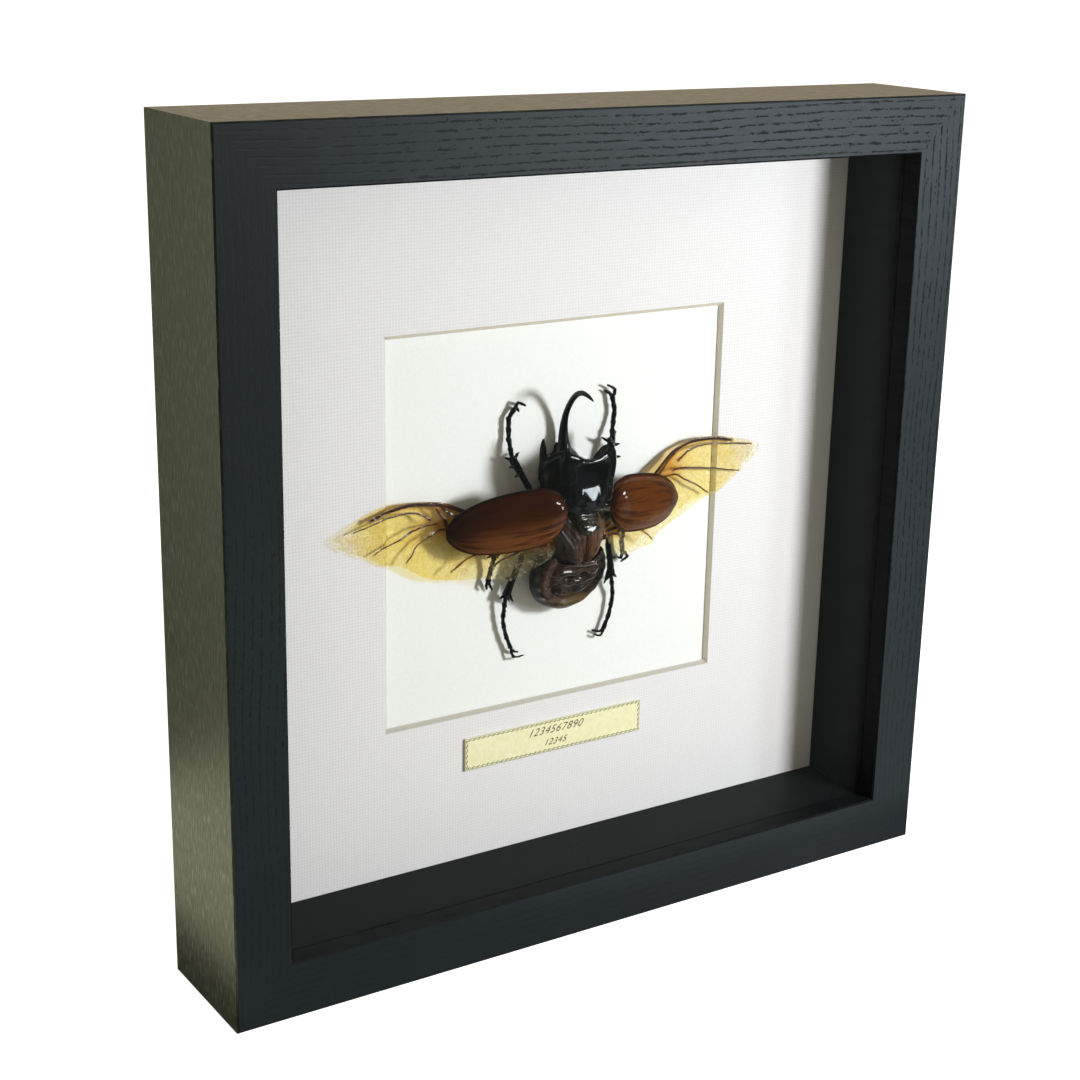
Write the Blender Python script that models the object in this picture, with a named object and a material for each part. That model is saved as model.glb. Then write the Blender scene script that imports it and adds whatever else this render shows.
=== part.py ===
"""Five-horned rhinoceros beetle with spread wings, mounted in a deep black box frame.

Metres. X runs across the frame, Y into it and Z up, with the origin in the middle of the footprint
that the frame stands on. A place on the beetle is (across, forward, height): across its body
towards +X, forward to its head, and height above the mount board towards the viewer.
"""

import math

import bmesh
import bpy
from mathutils import Matrix, Vector
from mathutils.geometry import delaunay_2d_cdt

# Frame
FRAME_SIDE = 0.250
FRAME_DEPTH = 0.0427
FACE_WIDTH = 0.0174
WALL_THICKNESS = 0.0104
LIP_DEPTH = 0.0065
FRAME_CHAMFER = 0.0005
GAP = 0.0003
MITRE_GAP = GAP / 2

# What the frame holds, by its depth behind the frame's front
GLASS_THICKNESS = 0.002
MAT_FRONT = 0.033
MAT_THICKNESS = 0.0012
MAT_BACK = MAT_FRONT + MAT_THICKNESS
WINDOW_SIDE = 0.1208
BOARD_FRONT = MAT_BACK + GAP
BOARD_THICKNESS = 0.003
PANEL_FRONT = BOARD_FRONT + BOARD_THICKNESS + GAP
PANEL_THICKNESS = 0.003
PANEL_BACK = PANEL_FRONT + PANEL_THICKNESS
SHEET_SIDE = FRAME_SIDE - 2 * (WALL_THICKNESS + GAP)

LABEL_SIZE = (0.0658, 0.0004, 0.0106)
LABEL_HEIGHT = 0.0521

TAB_SIZE = (0.007, 0.0008, 0.014)
TAB_SPREAD = 0.065
HANGER_LENGTH = 0.046
HANGER_WIDTH = 0.009
HANGER_THICKNESS = 0.001
HANGER_TEETH = 10
HANGER_DROP = 0.022

# Beetle. Its zero height leaves the usual gap to the board, so nothing on it goes below zero.
BEETLE_PLANE = MAT_BACK - FRAME_DEPTH / 2
BEETLE_CENTRE = FRAME_SIDE / 2

PRONOTUM_WIDTH = 0.0206
PRONOTUM_TOP = 0.0196
THORAX_WIDTH = 0.0200
ABDOMEN_WIDTH = 0.0259
ABDOMEN_RING = 0.0035
ABDOMEN_STEP = 0.0006
ABDOMEN_HOLLOW = 0.0016
BELLY_EDGE = 0.0045

ELYTRON_ROOT = 0.008
ELYTRON_TIP = 0.042
ELYTRON_HALF_WIDTH = 0.0093
ELYTRON_WIDEST = 0.35
ELYTRON_ROOT_HEIGHT = 0.0174
ELYTRON_TIP_HEIGHT = 0.0051
ELYTRON_RISE = 0.0046
ELYTRON_THICKNESS = 0.0006
SHOULDER_RISE = 0.0009

WING_THICKNESS = 0.0005
WING_TIP_HEIGHT = 0.0029
WING_ROOT_HEIGHT = 0.0125
WING_ROOT = 0.009
WING_FOLD = 0.042
VEIN_RISE = 0.0004
VEIN_WIDTH = 0.0011

THIGH_WIDTHS = (0.0022, 0.0032, 0.0034, 0.0030, 0.0022, 0.0010)
SHIN_WIDTHS = (0.0010, 0.0018, 0.0017, 0.0018, 0.0021, 0.0024)
SPINE_RADII = (0.0006, 0.0004, 0.00008)
FOOT_JOINTS = 5
FOOT_JOINT_RADII = ((0.02, 0.00034), (0.55, 0.00048), (0.86, 0.00060))
CLAW_RADII = (0.0003, 0.00026, 0.00008)

SIDES = {"left": -1, "right": 1}


def clear_scene():
    for item in list(bpy.data.objects):
        bpy.data.objects.remove(item, do_unlink=True)


def make_material(name, colour, roughness, metallic=0.0):
    material = bpy.data.materials.new(name)
    material.use_nodes = True
    shader = material.node_tree.nodes["Principled BSDF"]
    shader.inputs["Base Color"].default_value = (*colour, 1.0)
    shader.inputs["Roughness"].default_value = roughness
    shader.inputs["Metallic"].default_value = metallic
    return material


def depth_to_y(depth):
    return depth - FRAME_DEPTH / 2


def place(across, forward, height):
    """A place on the beetle in the part's own frame."""
    return Vector((across, BEETLE_PLANE - height, BEETLE_CENTRE + forward))


def mirrored(points, side):
    return [(side * across, *rest) for across, *rest in points]


def mesh_object(name, points, faces, material):
    """A closed mesh as an object, with its faces turned outwards."""
    mesh = bpy.data.meshes.new(name)
    mesh.from_pydata([tuple(point) for point in points], [], faces)
    edit = bmesh.new()
    edit.from_mesh(mesh)
    bmesh.ops.recalc_face_normals(edit, faces=edit.faces)
    edit.to_mesh(mesh)
    edit.free()
    mesh.materials.append(material)
    item = bpy.data.objects.new(name, mesh)
    bpy.context.scene.collection.objects.link(item)
    return item


def shade_round(item, angle=math.radians(35)):
    item.data.shade_smooth()
    item.data.set_sharp_from_angle(angle=angle)
    return item


def plain_mesh(item):
    """Turns an object with curves or modifiers into a plain mesh object of the same name."""
    bpy.context.view_layer.update()
    evaluated = item.evaluated_get(bpy.context.evaluated_depsgraph_get())
    mesh = bpy.data.meshes.new_from_object(evaluated)
    mesh.transform(item.matrix_world)
    name = item.name
    bpy.data.objects.remove(item, do_unlink=True)
    plain = bpy.data.objects.new(name, mesh)
    bpy.context.scene.collection.objects.link(plain)
    return plain


def keep_largest(item):
    """Drops every closed surface of a mesh but the largest."""
    edit = bmesh.new()
    edit.from_mesh(item.data)
    unseen = set(edit.verts)
    surfaces = []
    while unseen:
        surface = set()
        front = [unseen.pop()]
        while front:
            vertex = front.pop()
            surface.add(vertex)
            for edge in vertex.link_edges:
                other = edge.other_vert(vertex)
                if other in unseen:
                    unseen.remove(other)
                    front.append(other)
        surfaces.append(surface)

    def area(surface):
        faces = {face for vertex in surface for face in vertex.link_faces}
        return sum(face.calc_area() for face in faces)

    largest = max(surfaces, key=area)
    spare = [vertex for vertex in edit.verts if vertex not in largest]
    bmesh.ops.delete(edit, geom=spare, context="VERTS")
    edit.to_mesh(item.data)
    edit.free()


def fuse(name, pieces, material):
    """Joins closed mesh objects into one solid with a single Boolean union."""
    base, *others = pieces
    base.name = name
    if others:
        group = bpy.data.collections.new(name + "_pieces")
        bpy.context.scene.collection.children.link(group)
        for piece in others:
            group.objects.link(piece)
            bpy.context.scene.collection.objects.unlink(piece)
        union = base.modifiers.new("Union", "BOOLEAN")
        union.operation = "UNION"
        union.operand_type = "COLLECTION"
        union.collection = group
        base = plain_mesh(base)
        for piece in list(group.objects):
            bpy.data.objects.remove(piece, do_unlink=True)
        bpy.data.collections.remove(group)
        keep_largest(base)
    base.data.materials.clear()
    base.data.materials.append(material)
    return shade_round(base)


def swollen_copy(item, distance):
    """A copy of a closed mesh with its surface moved outwards by one distance."""
    copy = item.copy()
    copy.data = item.data.copy()
    copy.name = item.name + "_cutter"
    edit = bmesh.new()
    edit.from_mesh(copy.data)
    edit.normal_update()
    for vertex in edit.verts:
        factor = min(vertex.calc_shell_factor(), 2.0)
        vertex.co += vertex.normal * distance * factor
    edit.to_mesh(copy.data)
    edit.free()
    copy.hide_render = True
    copy.display_type = "WIRE"
    bpy.context.scene.collection.objects.link(copy)
    return copy


def cut_clear(item, *neighbours):
    """Cuts an object back from its neighbours, so that they meet with the usual gap."""
    for neighbour in neighbours:
        cutter = swollen_copy(neighbour, GAP)
        cut = item.modifiers.new("Clearance", "BOOLEAN")
        cut.operation = "DIFFERENCE"
        cut.use_self = True
        cut.object = cutter
        item = plain_mesh(item)
        keep_largest(item)
        bpy.data.objects.remove(cutter, do_unlink=True)
    return shade_round(item)


def box(name, size, centre, material):
    half = Vector(size) / 2
    corners = [(x, y, z) for x in (-1, 1) for y in (-1, 1) for z in (-1, 1)]
    points = [Vector(centre) + Vector(c) * half for c in corners]
    faces = [(0, 1, 3, 2), (4, 6, 7, 5), (0, 4, 5, 1), (2, 3, 7, 6), (0, 2, 6, 4), (1, 5, 7, 3)]
    return mesh_object(name, points, faces, material)


def smooth_path(points, steps):
    """Points along a smooth curve through the given ones, each with all its values."""
    knots = [Vector(point) for point in points]
    ends = [2 * knots[0] - knots[1], *knots, 2 * knots[-1] - knots[-2]]
    path = []
    for before, start, end, after in zip(ends, ends[1:], ends[2:], ends[3:]):
        for step in range(steps):
            t = step / steps
            path.append(
                0.5
                * (
                    2 * start
                    + t * (end - before)
                    + t**2 * (2 * before - 5 * start + 4 * end - after)
                    + t**3 * (3 * start - before - 3 * end + after)
                )
            )
    return [*path, knots[-1]]


def tube(name, points, radii, steps, sides, material):
    """A round tapered tube through places on the beetle, closed at both ends."""
    path = smooth_path([(*point, radius) for point, radius in zip(points, radii)], steps)
    curve = bpy.data.curves.new(name, "CURVE")
    curve.dimensions = "3D"
    curve.bevel_depth = 1.0
    curve.bevel_resolution = (sides - 4) // 2
    curve.use_fill_caps = True
    spline = curve.splines.new("POLY")
    spline.points.add(len(path) - 1)
    for knot, (across, forward, height, radius) in zip(spline.points, path):
        knot.co = (*place(across, forward, height), 1.0)
        knot.radius = radius
    curve.materials.append(material)
    item = bpy.data.objects.new(name, curve)
    bpy.context.scene.collection.objects.link(item)
    return weld(plain_mesh(item))


def weld(item):
    edit = bmesh.new()
    edit.from_mesh(item.data)
    bmesh.ops.remove_doubles(edit, verts=edit.verts, dist=1e-6)
    bmesh.ops.recalc_face_normals(edit, faces=edit.faces)
    edit.to_mesh(item.data)
    edit.free()
    return item


def cross_section(forward, half_width, low, high, sides, squareness):
    """A ring round the body: an ellipse that a squareness above 2 fills out towards a box."""
    ring = []
    for index in range(sides):
        angle = 2 * math.pi * (index + 0.5) / sides
        cosine, sine = math.cos(angle), math.sin(angle)
        across = half_width * math.copysign(abs(cosine) ** (2 / squareness), cosine)
        rise = math.copysign(abs(sine) ** (2 / squareness), sine)
        ring.append((across, forward, (low + high) / 2 + rise * (high - low) / 2))
    return ring


def loft(name, stations, steps, sides, material, squareness=2.2, shape=None):
    """A closed body through (forward, half width, low, high) stations, rear to front."""
    rings = [cross_section(*station, sides, squareness) for station in smooth_path(stations, steps)]
    points = [point for ring in rings for point in ring]
    if shape:
        points = [shape(*point) for point in points]
    faces = [tuple(range(sides)), tuple(range(len(points) - sides, len(points)))]
    for ring in range(len(rings) - 1):
        for index in range(sides):
            near, far = ring * sides, (ring + 1) * sides
            following = (index + 1) % sides
            faces.append((near + index, near + following, far + following, far + index))
    return mesh_object(name, [place(*point) for point in points], faces, material)


def ball(name, centre, size, material, across=12, round_about=8):
    """An ellipsoid at a place on the beetle, with its size across, forward and high."""
    points, faces = [], []
    for row in range(1, round_about):
        tilt = math.pi * row / round_about
        for column in range(across):
            turn = 2 * math.pi * column / across
            points.append(
                (
                    centre[0] + size[0] * math.sin(tilt) * math.cos(turn),
                    centre[1] + size[1] * math.sin(tilt) * math.sin(turn),
                    centre[2] + size[2] * math.cos(tilt),
                )
            )
    top, bottom = len(points), len(points) + 1
    points += [(centre[0], centre[1], centre[2] + pole * size[2]) for pole in (1, -1)]
    last = (round_about - 2) * across
    for column in range(across):
        following = (column + 1) % across
        faces.append((top, column, following))
        faces.append((bottom, last + following, last + column))
        for row in range(round_about - 2):
            near, far = row * across, (row + 1) * across
            faces.append((near + column, far + column, far + following, near + following))
    return mesh_object(name, [place(*point) for point in points], faces, material)


# Frame and what it holds


def mitred_bar(name, profile, turn, material):
    """A bar along one side of the frame, mitred at 45 degrees. The profile is (inward, depth)."""
    points = []
    for end in (-1, 1):
        for inward, depth in profile:
            reach = end * (FRAME_SIDE / 2 - inward - MITRE_GAP)
            points.append(Vector((reach, depth_to_y(depth), inward - FRAME_SIDE / 2)))
    count = len(profile)
    faces = [tuple(range(count)), tuple(range(count, 2 * count))]
    for index in range(count):
        following = (index + 1) % count
        faces.append((index, following, count + following, count + index))
    turned = Matrix.Rotation(turn, 4, "Y")
    centre = Vector((0, 0, FRAME_SIDE / 2))
    return mesh_object(name, [turned @ point + centre for point in points], faces, material)


def make_frame(material):
    profile = [
        (0, FRAME_CHAMFER),
        (FRAME_CHAMFER, 0),
        (FACE_WIDTH - FRAME_CHAMFER, 0),
        (FACE_WIDTH, FRAME_CHAMFER),
        (FACE_WIDTH, LIP_DEPTH),
        (WALL_THICKNESS, LIP_DEPTH),
        (WALL_THICKNESS, FRAME_DEPTH),
        (0, FRAME_DEPTH),
    ]
    for quarter, place_name in enumerate(("bottom", "left", "top", "right")):
        mitred_bar("frame_" + place_name, profile, quarter * math.pi / 2, material)


def make_liners(material):
    """The black walls that hold the glass forward of the mat."""
    front = LIP_DEPTH + GLASS_THICKNESS + 2 * GAP
    outer = WALL_THICKNESS + GAP
    back = MAT_FRONT - GAP
    profile = [(outer, front), (FACE_WIDTH, front), (FACE_WIDTH, back), (outer, back)]
    for quarter, place_name in enumerate(("bottom", "left", "top", "right")):
        mitred_bar("liner_" + place_name, profile, quarter * math.pi / 2, material)


def sheet(name, front, thickness, material):
    centre = (0, depth_to_y(front + thickness / 2), FRAME_SIDE / 2)
    return box(name, (SHEET_SIDE, thickness, SHEET_SIDE), centre, material)


def make_window_mat(material):
    """A card with a square window whose edge is cut at 45 degrees."""
    loops = [
        (SHEET_SIDE / 2, MAT_FRONT),
        (WINDOW_SIDE / 2, MAT_FRONT),
        (WINDOW_SIDE / 2 - MAT_THICKNESS, MAT_BACK),
        (SHEET_SIDE / 2, MAT_BACK),
    ]
    points = []
    for half, depth in loops:
        for x, z in ((-1, -1), (1, -1), (1, 1), (-1, 1)):
            points.append((x * half, depth_to_y(depth), FRAME_SIDE / 2 + z * half))
    faces = []
    for loop in range(4):
        following_loop = (loop + 1) % 4
        for corner in range(4):
            following = (corner + 1) % 4
            near, far = 4 * loop, 4 * following_loop
            faces.append((near + corner, near + following, far + following, far + corner))
    return mesh_object("window_mat", points, faces, material)


def make_label(material):
    depth = MAT_FRONT - GAP - LABEL_SIZE[1] / 2
    box("label", LABEL_SIZE, (0, depth_to_y(depth), LABEL_HEIGHT), material)


def make_back_tabs(material):
    """Two steel points on each side that hold the back panel in."""
    reach = FRAME_SIDE / 2 - WALL_THICKNESS - GAP - TAB_SIZE[2] / 2
    y = depth_to_y(PANEL_BACK + GAP + TAB_SIZE[1] / 2)
    number = 0
    for quarter in range(4):
        for spread in (-TAB_SPREAD, TAB_SPREAD):
            number += 1
            size = TAB_SIZE if quarter % 2 == 0 else (TAB_SIZE[2], TAB_SIZE[1], TAB_SIZE[0])
            offset = Matrix.Rotation(quarter * math.pi / 2, 4, "Y") @ Vector((spread, 0, -reach))
            centre = Vector((0, y, FRAME_SIDE / 2)) + offset
            box(f"back_tab_{number}", size, centre, material)


def make_hanger(material):
    """A flat sawtooth strip on the back panel, inside the frame's rear recess."""
    top = FRAME_SIDE - WALL_THICKNESS - HANGER_DROP
    pitch = 0.6 * HANGER_LENGTH / HANGER_TEETH
    depth_of_tooth = 0.35 * HANGER_WIDTH
    outline = [(-HANGER_LENGTH / 2, top), (HANGER_LENGTH / 2, top)]
    outline += [(HANGER_LENGTH / 2, top - HANGER_WIDTH)]
    for tooth in range(HANGER_TEETH + 1):
        x = pitch * (HANGER_TEETH / 2 - tooth)
        outline.append((x, top - HANGER_WIDTH))
        if tooth < HANGER_TEETH:
            outline.append((x - pitch / 2, top - HANGER_WIDTH + depth_of_tooth))
    outline.append((-HANGER_LENGTH / 2, top - HANGER_WIDTH))
    front = depth_to_y(PANEL_BACK + GAP)
    points = [(x, front + back, z) for back in (0, HANGER_THICKNESS) for x, z in outline]
    count = len(outline)
    faces = [tuple(range(count)), tuple(range(count, 2 * count))]
    for index in range(count):
        following = (index + 1) % count
        faces.append((index, following, count + following, count + index))
    mesh_object("hanger", points, faces, material)


# Beetle's body


def make_pronotum(material):
    """The domed shield behind the head. Its front leans over, so that the head sits under it."""
    half = PRONOTUM_WIDTH / 2
    stations = [
        (0.0044, 0.88 * half, 0.0080, 0.0176),
        (0.0052, 0.94 * half, 0.0066, 0.0186),
        (0.0085, 1.00 * half, 0.0056, 0.0194),
        (0.0130, 1.00 * half, 0.0055, PRONOTUM_TOP),
        (0.0165, 0.95 * half, 0.0062, PRONOTUM_TOP),
        (0.0183, 0.86 * half, 0.0090, PRONOTUM_TOP),
        (0.0192, 0.76 * half, 0.0128, 0.0194),
        (0.0201, 0.62 * half, 0.0158, 0.0193),
        (0.0208, 0.42 * half, 0.0176, 0.0190),
    ]
    return shade_round(loft("pronotum", stations, 2, 26, material, 2.4))


def make_thorax(material):
    """The segments that carry the wings, their middle groove above and keel below."""
    half = THORAX_WIDTH / 2
    stations = [
        (-0.0132, 0.55 * half, 0.0030, 0.0112),
        (-0.0118, 0.78 * half, 0.0012, 0.0150),
        (-0.0090, 0.94 * half, 0.0003, 0.0166),
        (-0.0040, 1.00 * half, 0.0000, 0.0170),
        (0.0010, 0.94 * half, 0.0002, 0.0164),
        (0.0045, 0.74 * half, 0.0022, 0.0150),
        (0.0070, 0.60 * half, 0.0040, 0.0140),
    ]

    def groove(across, forward, height):
        depth = 0.0007 * math.exp(-((across / 0.0010) ** 2))
        return (across, forward, height - depth if height > 0.012 else height)

    return loft("thorax", stations, 2, 28, material, 2.4, groove)


def make_scutellum(material):
    stations = [
        (-0.0026, 0.0010, 0.0156, 0.0178),
        (-0.0018, 0.0021, 0.0152, 0.0187),
        (0.0005, 0.0036, 0.0150, 0.0189),
        (0.0030, 0.0043, 0.0150, 0.0182),
        (0.0046, 0.0045, 0.0150, 0.0172),
    ]
    return loft("scutellum", stations, 2, 16, material)


def make_abdomen(material):
    """Overlapping rings that dry with sunken middles and a raised rim."""
    half = ABDOMEN_WIDTH / 2
    stations = [
        (-0.0294, 0.14 * half, 0.0030, 0.0052),
        (-0.0286, 0.36 * half, 0.0020, 0.0064),
        (-0.0266, 0.66 * half, 0.0010, 0.0079),
        (-0.0236, 0.86 * half, 0.0006, 0.0097),
        (-0.0200, 0.98 * half, 0.0004, 0.0116),
        (-0.0165, 1.00 * half, 0.0004, 0.0132),
        (-0.0130, 0.95 * half, 0.0005, 0.0143),
        (-0.0104, 0.84 * half, 0.0010, 0.0147),
        (-0.0088, 0.72 * half, 0.0020, 0.0144),
    ]

    def fold(across, forward, height):
        if height < BELLY_EDGE:
            return (across, forward, height)
        step = ABDOMEN_STEP * ((-forward) % ABDOMEN_RING) / ABDOMEN_RING
        hollow = ((across / (0.55 * half)) ** 2) + ((forward + 0.0175) / 0.0070) ** 2
        return (across, forward, height + step - ABDOMEN_HOLLOW * math.exp(-hollow))

    return loft("abdomen", stations, 3, 24, material, 2.2, fold)


# Head and horns


def make_head(material):
    stations = [
        (0.0120, 0.0036, 0.0018, 0.0082),
        (0.0150, 0.0044, 0.0010, 0.0090),
        (0.0175, 0.0045, 0.0008, 0.0084),
        (0.0193, 0.0040, 0.0007, 0.0070),
        (0.0207, 0.0029, 0.0007, 0.0054),
        (0.0218, 0.0021, 0.0008, 0.0040),
        (0.0224, 0.0016, 0.0010, 0.0030),
    ]
    return loft("head", stations, 2, 16, material)


def make_head_horn(material):
    """One long horn that runs forward from the head and curls up and back."""
    points = [
        (-0.0001, 0.0180, 0.0048),
        (-0.0001, 0.0215, 0.0036),
        (-0.0001, 0.0262, 0.0030),
        (-0.0003, 0.0315, 0.0042),
        (-0.0004, 0.0361, 0.0070),
        (-0.0004, 0.0391, 0.0101),
        (-0.0004, 0.0402, 0.0133),
        (-0.0003, 0.0398, 0.0162),
        (-0.0001, 0.0388, 0.0186),
    ]
    radii = [0.0028, 0.0019, 0.0013, 0.0009, 0.0008, 0.0008, 0.00072, 0.0005, 0.00012]
    return tube("horn_head", points, radii, 3, 10, material)


def make_front_horn(side_name, side, material):
    """The lower horn at one front corner of the pronotum."""
    points = [
        (0.0088, 0.0120, 0.0094),
        (0.0105, 0.0162, 0.0097),
        (0.0116, 0.0200, 0.0101),
        (0.0123, 0.0235, 0.0108),
        (0.0126, 0.0272, 0.0112),
    ]
    radii = [0.0036, 0.0030, 0.0020, 0.0011, 0.00012]
    return tube("horn_front_" + side_name, mirrored(points, side), radii, 4, 10, material)


def make_upper_horn(side_name, side, material):
    """The upper horn on one side of the pronotum's leaning front."""
    points = [
        (0.0063, 0.0150, 0.0156),
        (0.0073, 0.0195, 0.0164),
        (0.0078, 0.0233, 0.0168),
        (0.0078, 0.0265, 0.0165),
    ]
    radii = [0.0033, 0.0025, 0.0011, 0.00012]
    return tube("horn_upper_" + side_name, mirrored(points, side), radii, 4, 10, material)


def make_eye(side_name, side, material):
    centre = (side * 0.0042, 0.0168, 0.0042)
    return ball("eye_" + side_name, centre, (0.0015, 0.0016, 0.0018), material)


def make_antenna(side_name, side, material):
    """A short elbowed feeler, folded back beside the head, that ends in a club of three leaves."""
    shaft = [
        (0.0032, 0.0192, 0.0016),
        (0.0050, 0.0186, 0.0016),
        (0.0060, 0.0166, 0.0014),
        (0.0063, 0.0146, 0.0014),
    ]
    radii = [0.00045, 0.00055, 0.0004, 0.0005]
    pieces = [tube("shaft", mirrored(shaft, side), radii, 2, 6, material)]
    for leaf in range(3):
        spread = (leaf - 1) * 0.0007
        club = [
            (0.0063, 0.0149, 0.0014),
            (0.0065 + spread / 2, 0.0134, 0.0014),
            (0.0068 + spread, 0.0118, 0.0013),
        ]
        pieces.append(tube("leaf", mirrored(club, side), [0.0003, 0.0005, 0.0003], 1, 6, material))
    return fuse("antenna_" + side_name, pieces, material)


def make_mouthparts(material):
    """The blunt jaws and the feelers beside them, under the front of the head."""
    pieces = [ball("root", (0, 0.0196, 0.0006), (0.0019, 0.0016, 0.0006), material, 10, 5)]
    for side in SIDES.values():
        jaw = [(0.0008, 0.0200, 0.0006), (0.0013, 0.0212, 0.0006), (0.0007, 0.0221, 0.0006)]
        pieces.append(tube("jaw", mirrored(jaw, side), [0.0005, 0.0005, 0.0002], 2, 6, material))
        palp = [(0.0013, 0.0192, 0.0006), (0.0024, 0.0190, 0.0006), (0.0031, 0.0180, 0.0005)]
        pieces.append(tube("palp", mirrored(palp, side), [0.0004, 0.0004, 0.0003], 2, 6, material))
    return fuse("mouthparts", pieces, material)


# Elytra and wings


def elytron_half_width(share):
    """Half the width of a wing case at a share of its length from root to tip."""
    if share < ELYTRON_WIDEST:
        return ELYTRON_HALF_WIDTH * (1 - (1 - share / ELYTRON_WIDEST) ** 3) ** 0.45
    towards_tip = (share - ELYTRON_WIDEST) / (1 - ELYTRON_WIDEST)
    return ELYTRON_HALF_WIDTH * max(0.0, 1 - towards_tip**2.6) ** 0.5


def elytron_place(share, breadth):
    """The upper surface of a wing case; breadth runs from -1 at its rear edge to 1 in front."""
    across = ELYTRON_ROOT + share * (ELYTRON_TIP - ELYTRON_ROOT)
    half = elytron_half_width(share)
    forward = 0.0061 - 0.0056 * share**0.8 + breadth * half
    rim = ELYTRON_ROOT_HEIGHT + share * (ELYTRON_TIP_HEIGHT - ELYTRON_ROOT_HEIGHT)
    dome = (1 - abs(breadth) ** 2.4) * (1 + 0.2 * breadth)
    rise = ELYTRON_RISE * dome * (half / ELYTRON_HALF_WIDTH) ** 0.8
    shoulder = math.exp(-(((share - 0.14) / 0.10) ** 2 + ((breadth - 0.5) / 0.35) ** 2))
    return across, forward, rim + rise + SHOULDER_RISE * shoulder


def make_elytron(side_name, side, material, rows=13, columns=10):
    points = [elytron_place(0, 0)]
    for row in range(1, rows):
        share = 0.5 * (1 - math.cos(math.pi * row / rows))
        for column in range(columns + 1):
            points.append(elytron_place(share, math.sin(math.pi * (column / columns - 0.5))))
    points.append(elytron_place(1, 0))
    stride = columns + 1
    last = len(points) - 1
    skin = []
    for column in range(columns):
        skin.append((0, 1 + column, 2 + column))
        skin.append((last, last - stride + column + 1, last - stride + column))
    for row in range(rows - 2):
        for column in range(columns):
            near = 1 + row * stride + column
            far = near + stride
            skin += [(near, far, far + 1), (near, far + 1, near + 1)]
    rim = [0, *range(1, last, stride), last, *range(last - 1, 0, -stride)]
    placed = [place(side * across, forward, height) for across, forward, height in points]
    under = [point + Vector((0, ELYTRON_THICKNESS, 0)) for point in placed]
    return thick_skin("elytron_" + side_name, placed, under, skin, rim, material)


def thick_skin(name, upper, under, skin, rim, material):
    """A closed shell between two faces that are split into triangles alike."""
    count = len(upper)
    faces = list(skin) + [tuple(count + index for index in reversed(face)) for face in skin]
    for index, start in enumerate(rim):
        end = rim[(index + 1) % len(rim)]
        faces += [(start, end, count + end), (start, count + end, count + start)]
    return shade_round(mesh_object(name, [*upper, *under], faces, material))


def wing_height(across):
    """How high the middle of the membrane stands above the board."""
    inward = (WING_FOLD - abs(across)) / (WING_FOLD - WING_ROOT)
    share = min(max(inward, 0.0), 1.0)
    return WING_TIP_HEIGHT + (WING_ROOT_HEIGHT - WING_TIP_HEIGHT) * share**1.15


# The wings' edges and veins, seen from above the back as (across, forward)
LEFT_WING_EDGE = [
    (-0.0070, 0.0000), (-0.0200, 0.0030), (-0.0338, 0.0066), (-0.0420, 0.0098), (-0.0520, 0.0112),
    (-0.0606, 0.0108), (-0.0671, 0.0086), (-0.0735, 0.0060), (-0.0780, 0.0034), (-0.0750, 0.0000),
    (-0.0661, -0.0039), (-0.0618, -0.0064), (-0.0552, -0.0080), (-0.0485, -0.0122), (-0.0403, -0.0144),
    (-0.0306, -0.0147), (-0.0247, -0.0157), (-0.0208, -0.0160), (-0.0161, -0.0134), (-0.0070, -0.0080),
]
LEFT_WING_VEINS = [
    [(-0.0090, 0.0000), (-0.0200, 0.0028), (-0.0338, 0.0062), (-0.0418, 0.0090), (-0.0519, 0.0104),
     (-0.0590, 0.0096), (-0.0660, 0.0076)],
    [(-0.0090, -0.0012), (-0.0250, 0.0014), (-0.0378, 0.0052), (-0.0415, 0.0084)],
    [(-0.0463, 0.0052), (-0.0497, 0.0073), (-0.0552, 0.0082), (-0.0617, 0.0073), (-0.0714, 0.0047)],
    [(-0.0441, 0.0036), (-0.0497, 0.0032), (-0.0563, 0.0006), (-0.0650, -0.0028)],
    [(-0.0100, -0.0028), (-0.0250, -0.0010), (-0.0404, 0.0013), (-0.0463, 0.0001), (-0.0508, -0.0028),
     (-0.0540, -0.0067)],
    [(-0.0105, -0.0042), (-0.0230, -0.0045), (-0.0329, -0.0073), (-0.0363, -0.0099), (-0.0390, -0.0116)],
    [(-0.0110, -0.0056), (-0.0180, -0.0066), (-0.0236, -0.0090), (-0.0262, -0.0113)],
]
RIGHT_WING_EDGE = [
    (0.0070, 0.0000), (0.0200, 0.0036), (0.0300, 0.0080), (0.0385, 0.0137), (0.0420, 0.0157),
    (0.0488, 0.0179), (0.0579, 0.0178), (0.0652, 0.0164), (0.0731, 0.0145), (0.0759, 0.0121),
    (0.0710, 0.0067), (0.0675, 0.0042), (0.0600, -0.0008), (0.0549, -0.0020), (0.0490, -0.0048),
    (0.0421, -0.0082), (0.0352, -0.0108), (0.0330, -0.0134), (0.0259, -0.0137), (0.0182, -0.0142),
    (0.0125, -0.0090), (0.0070, -0.0080),
]
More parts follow.
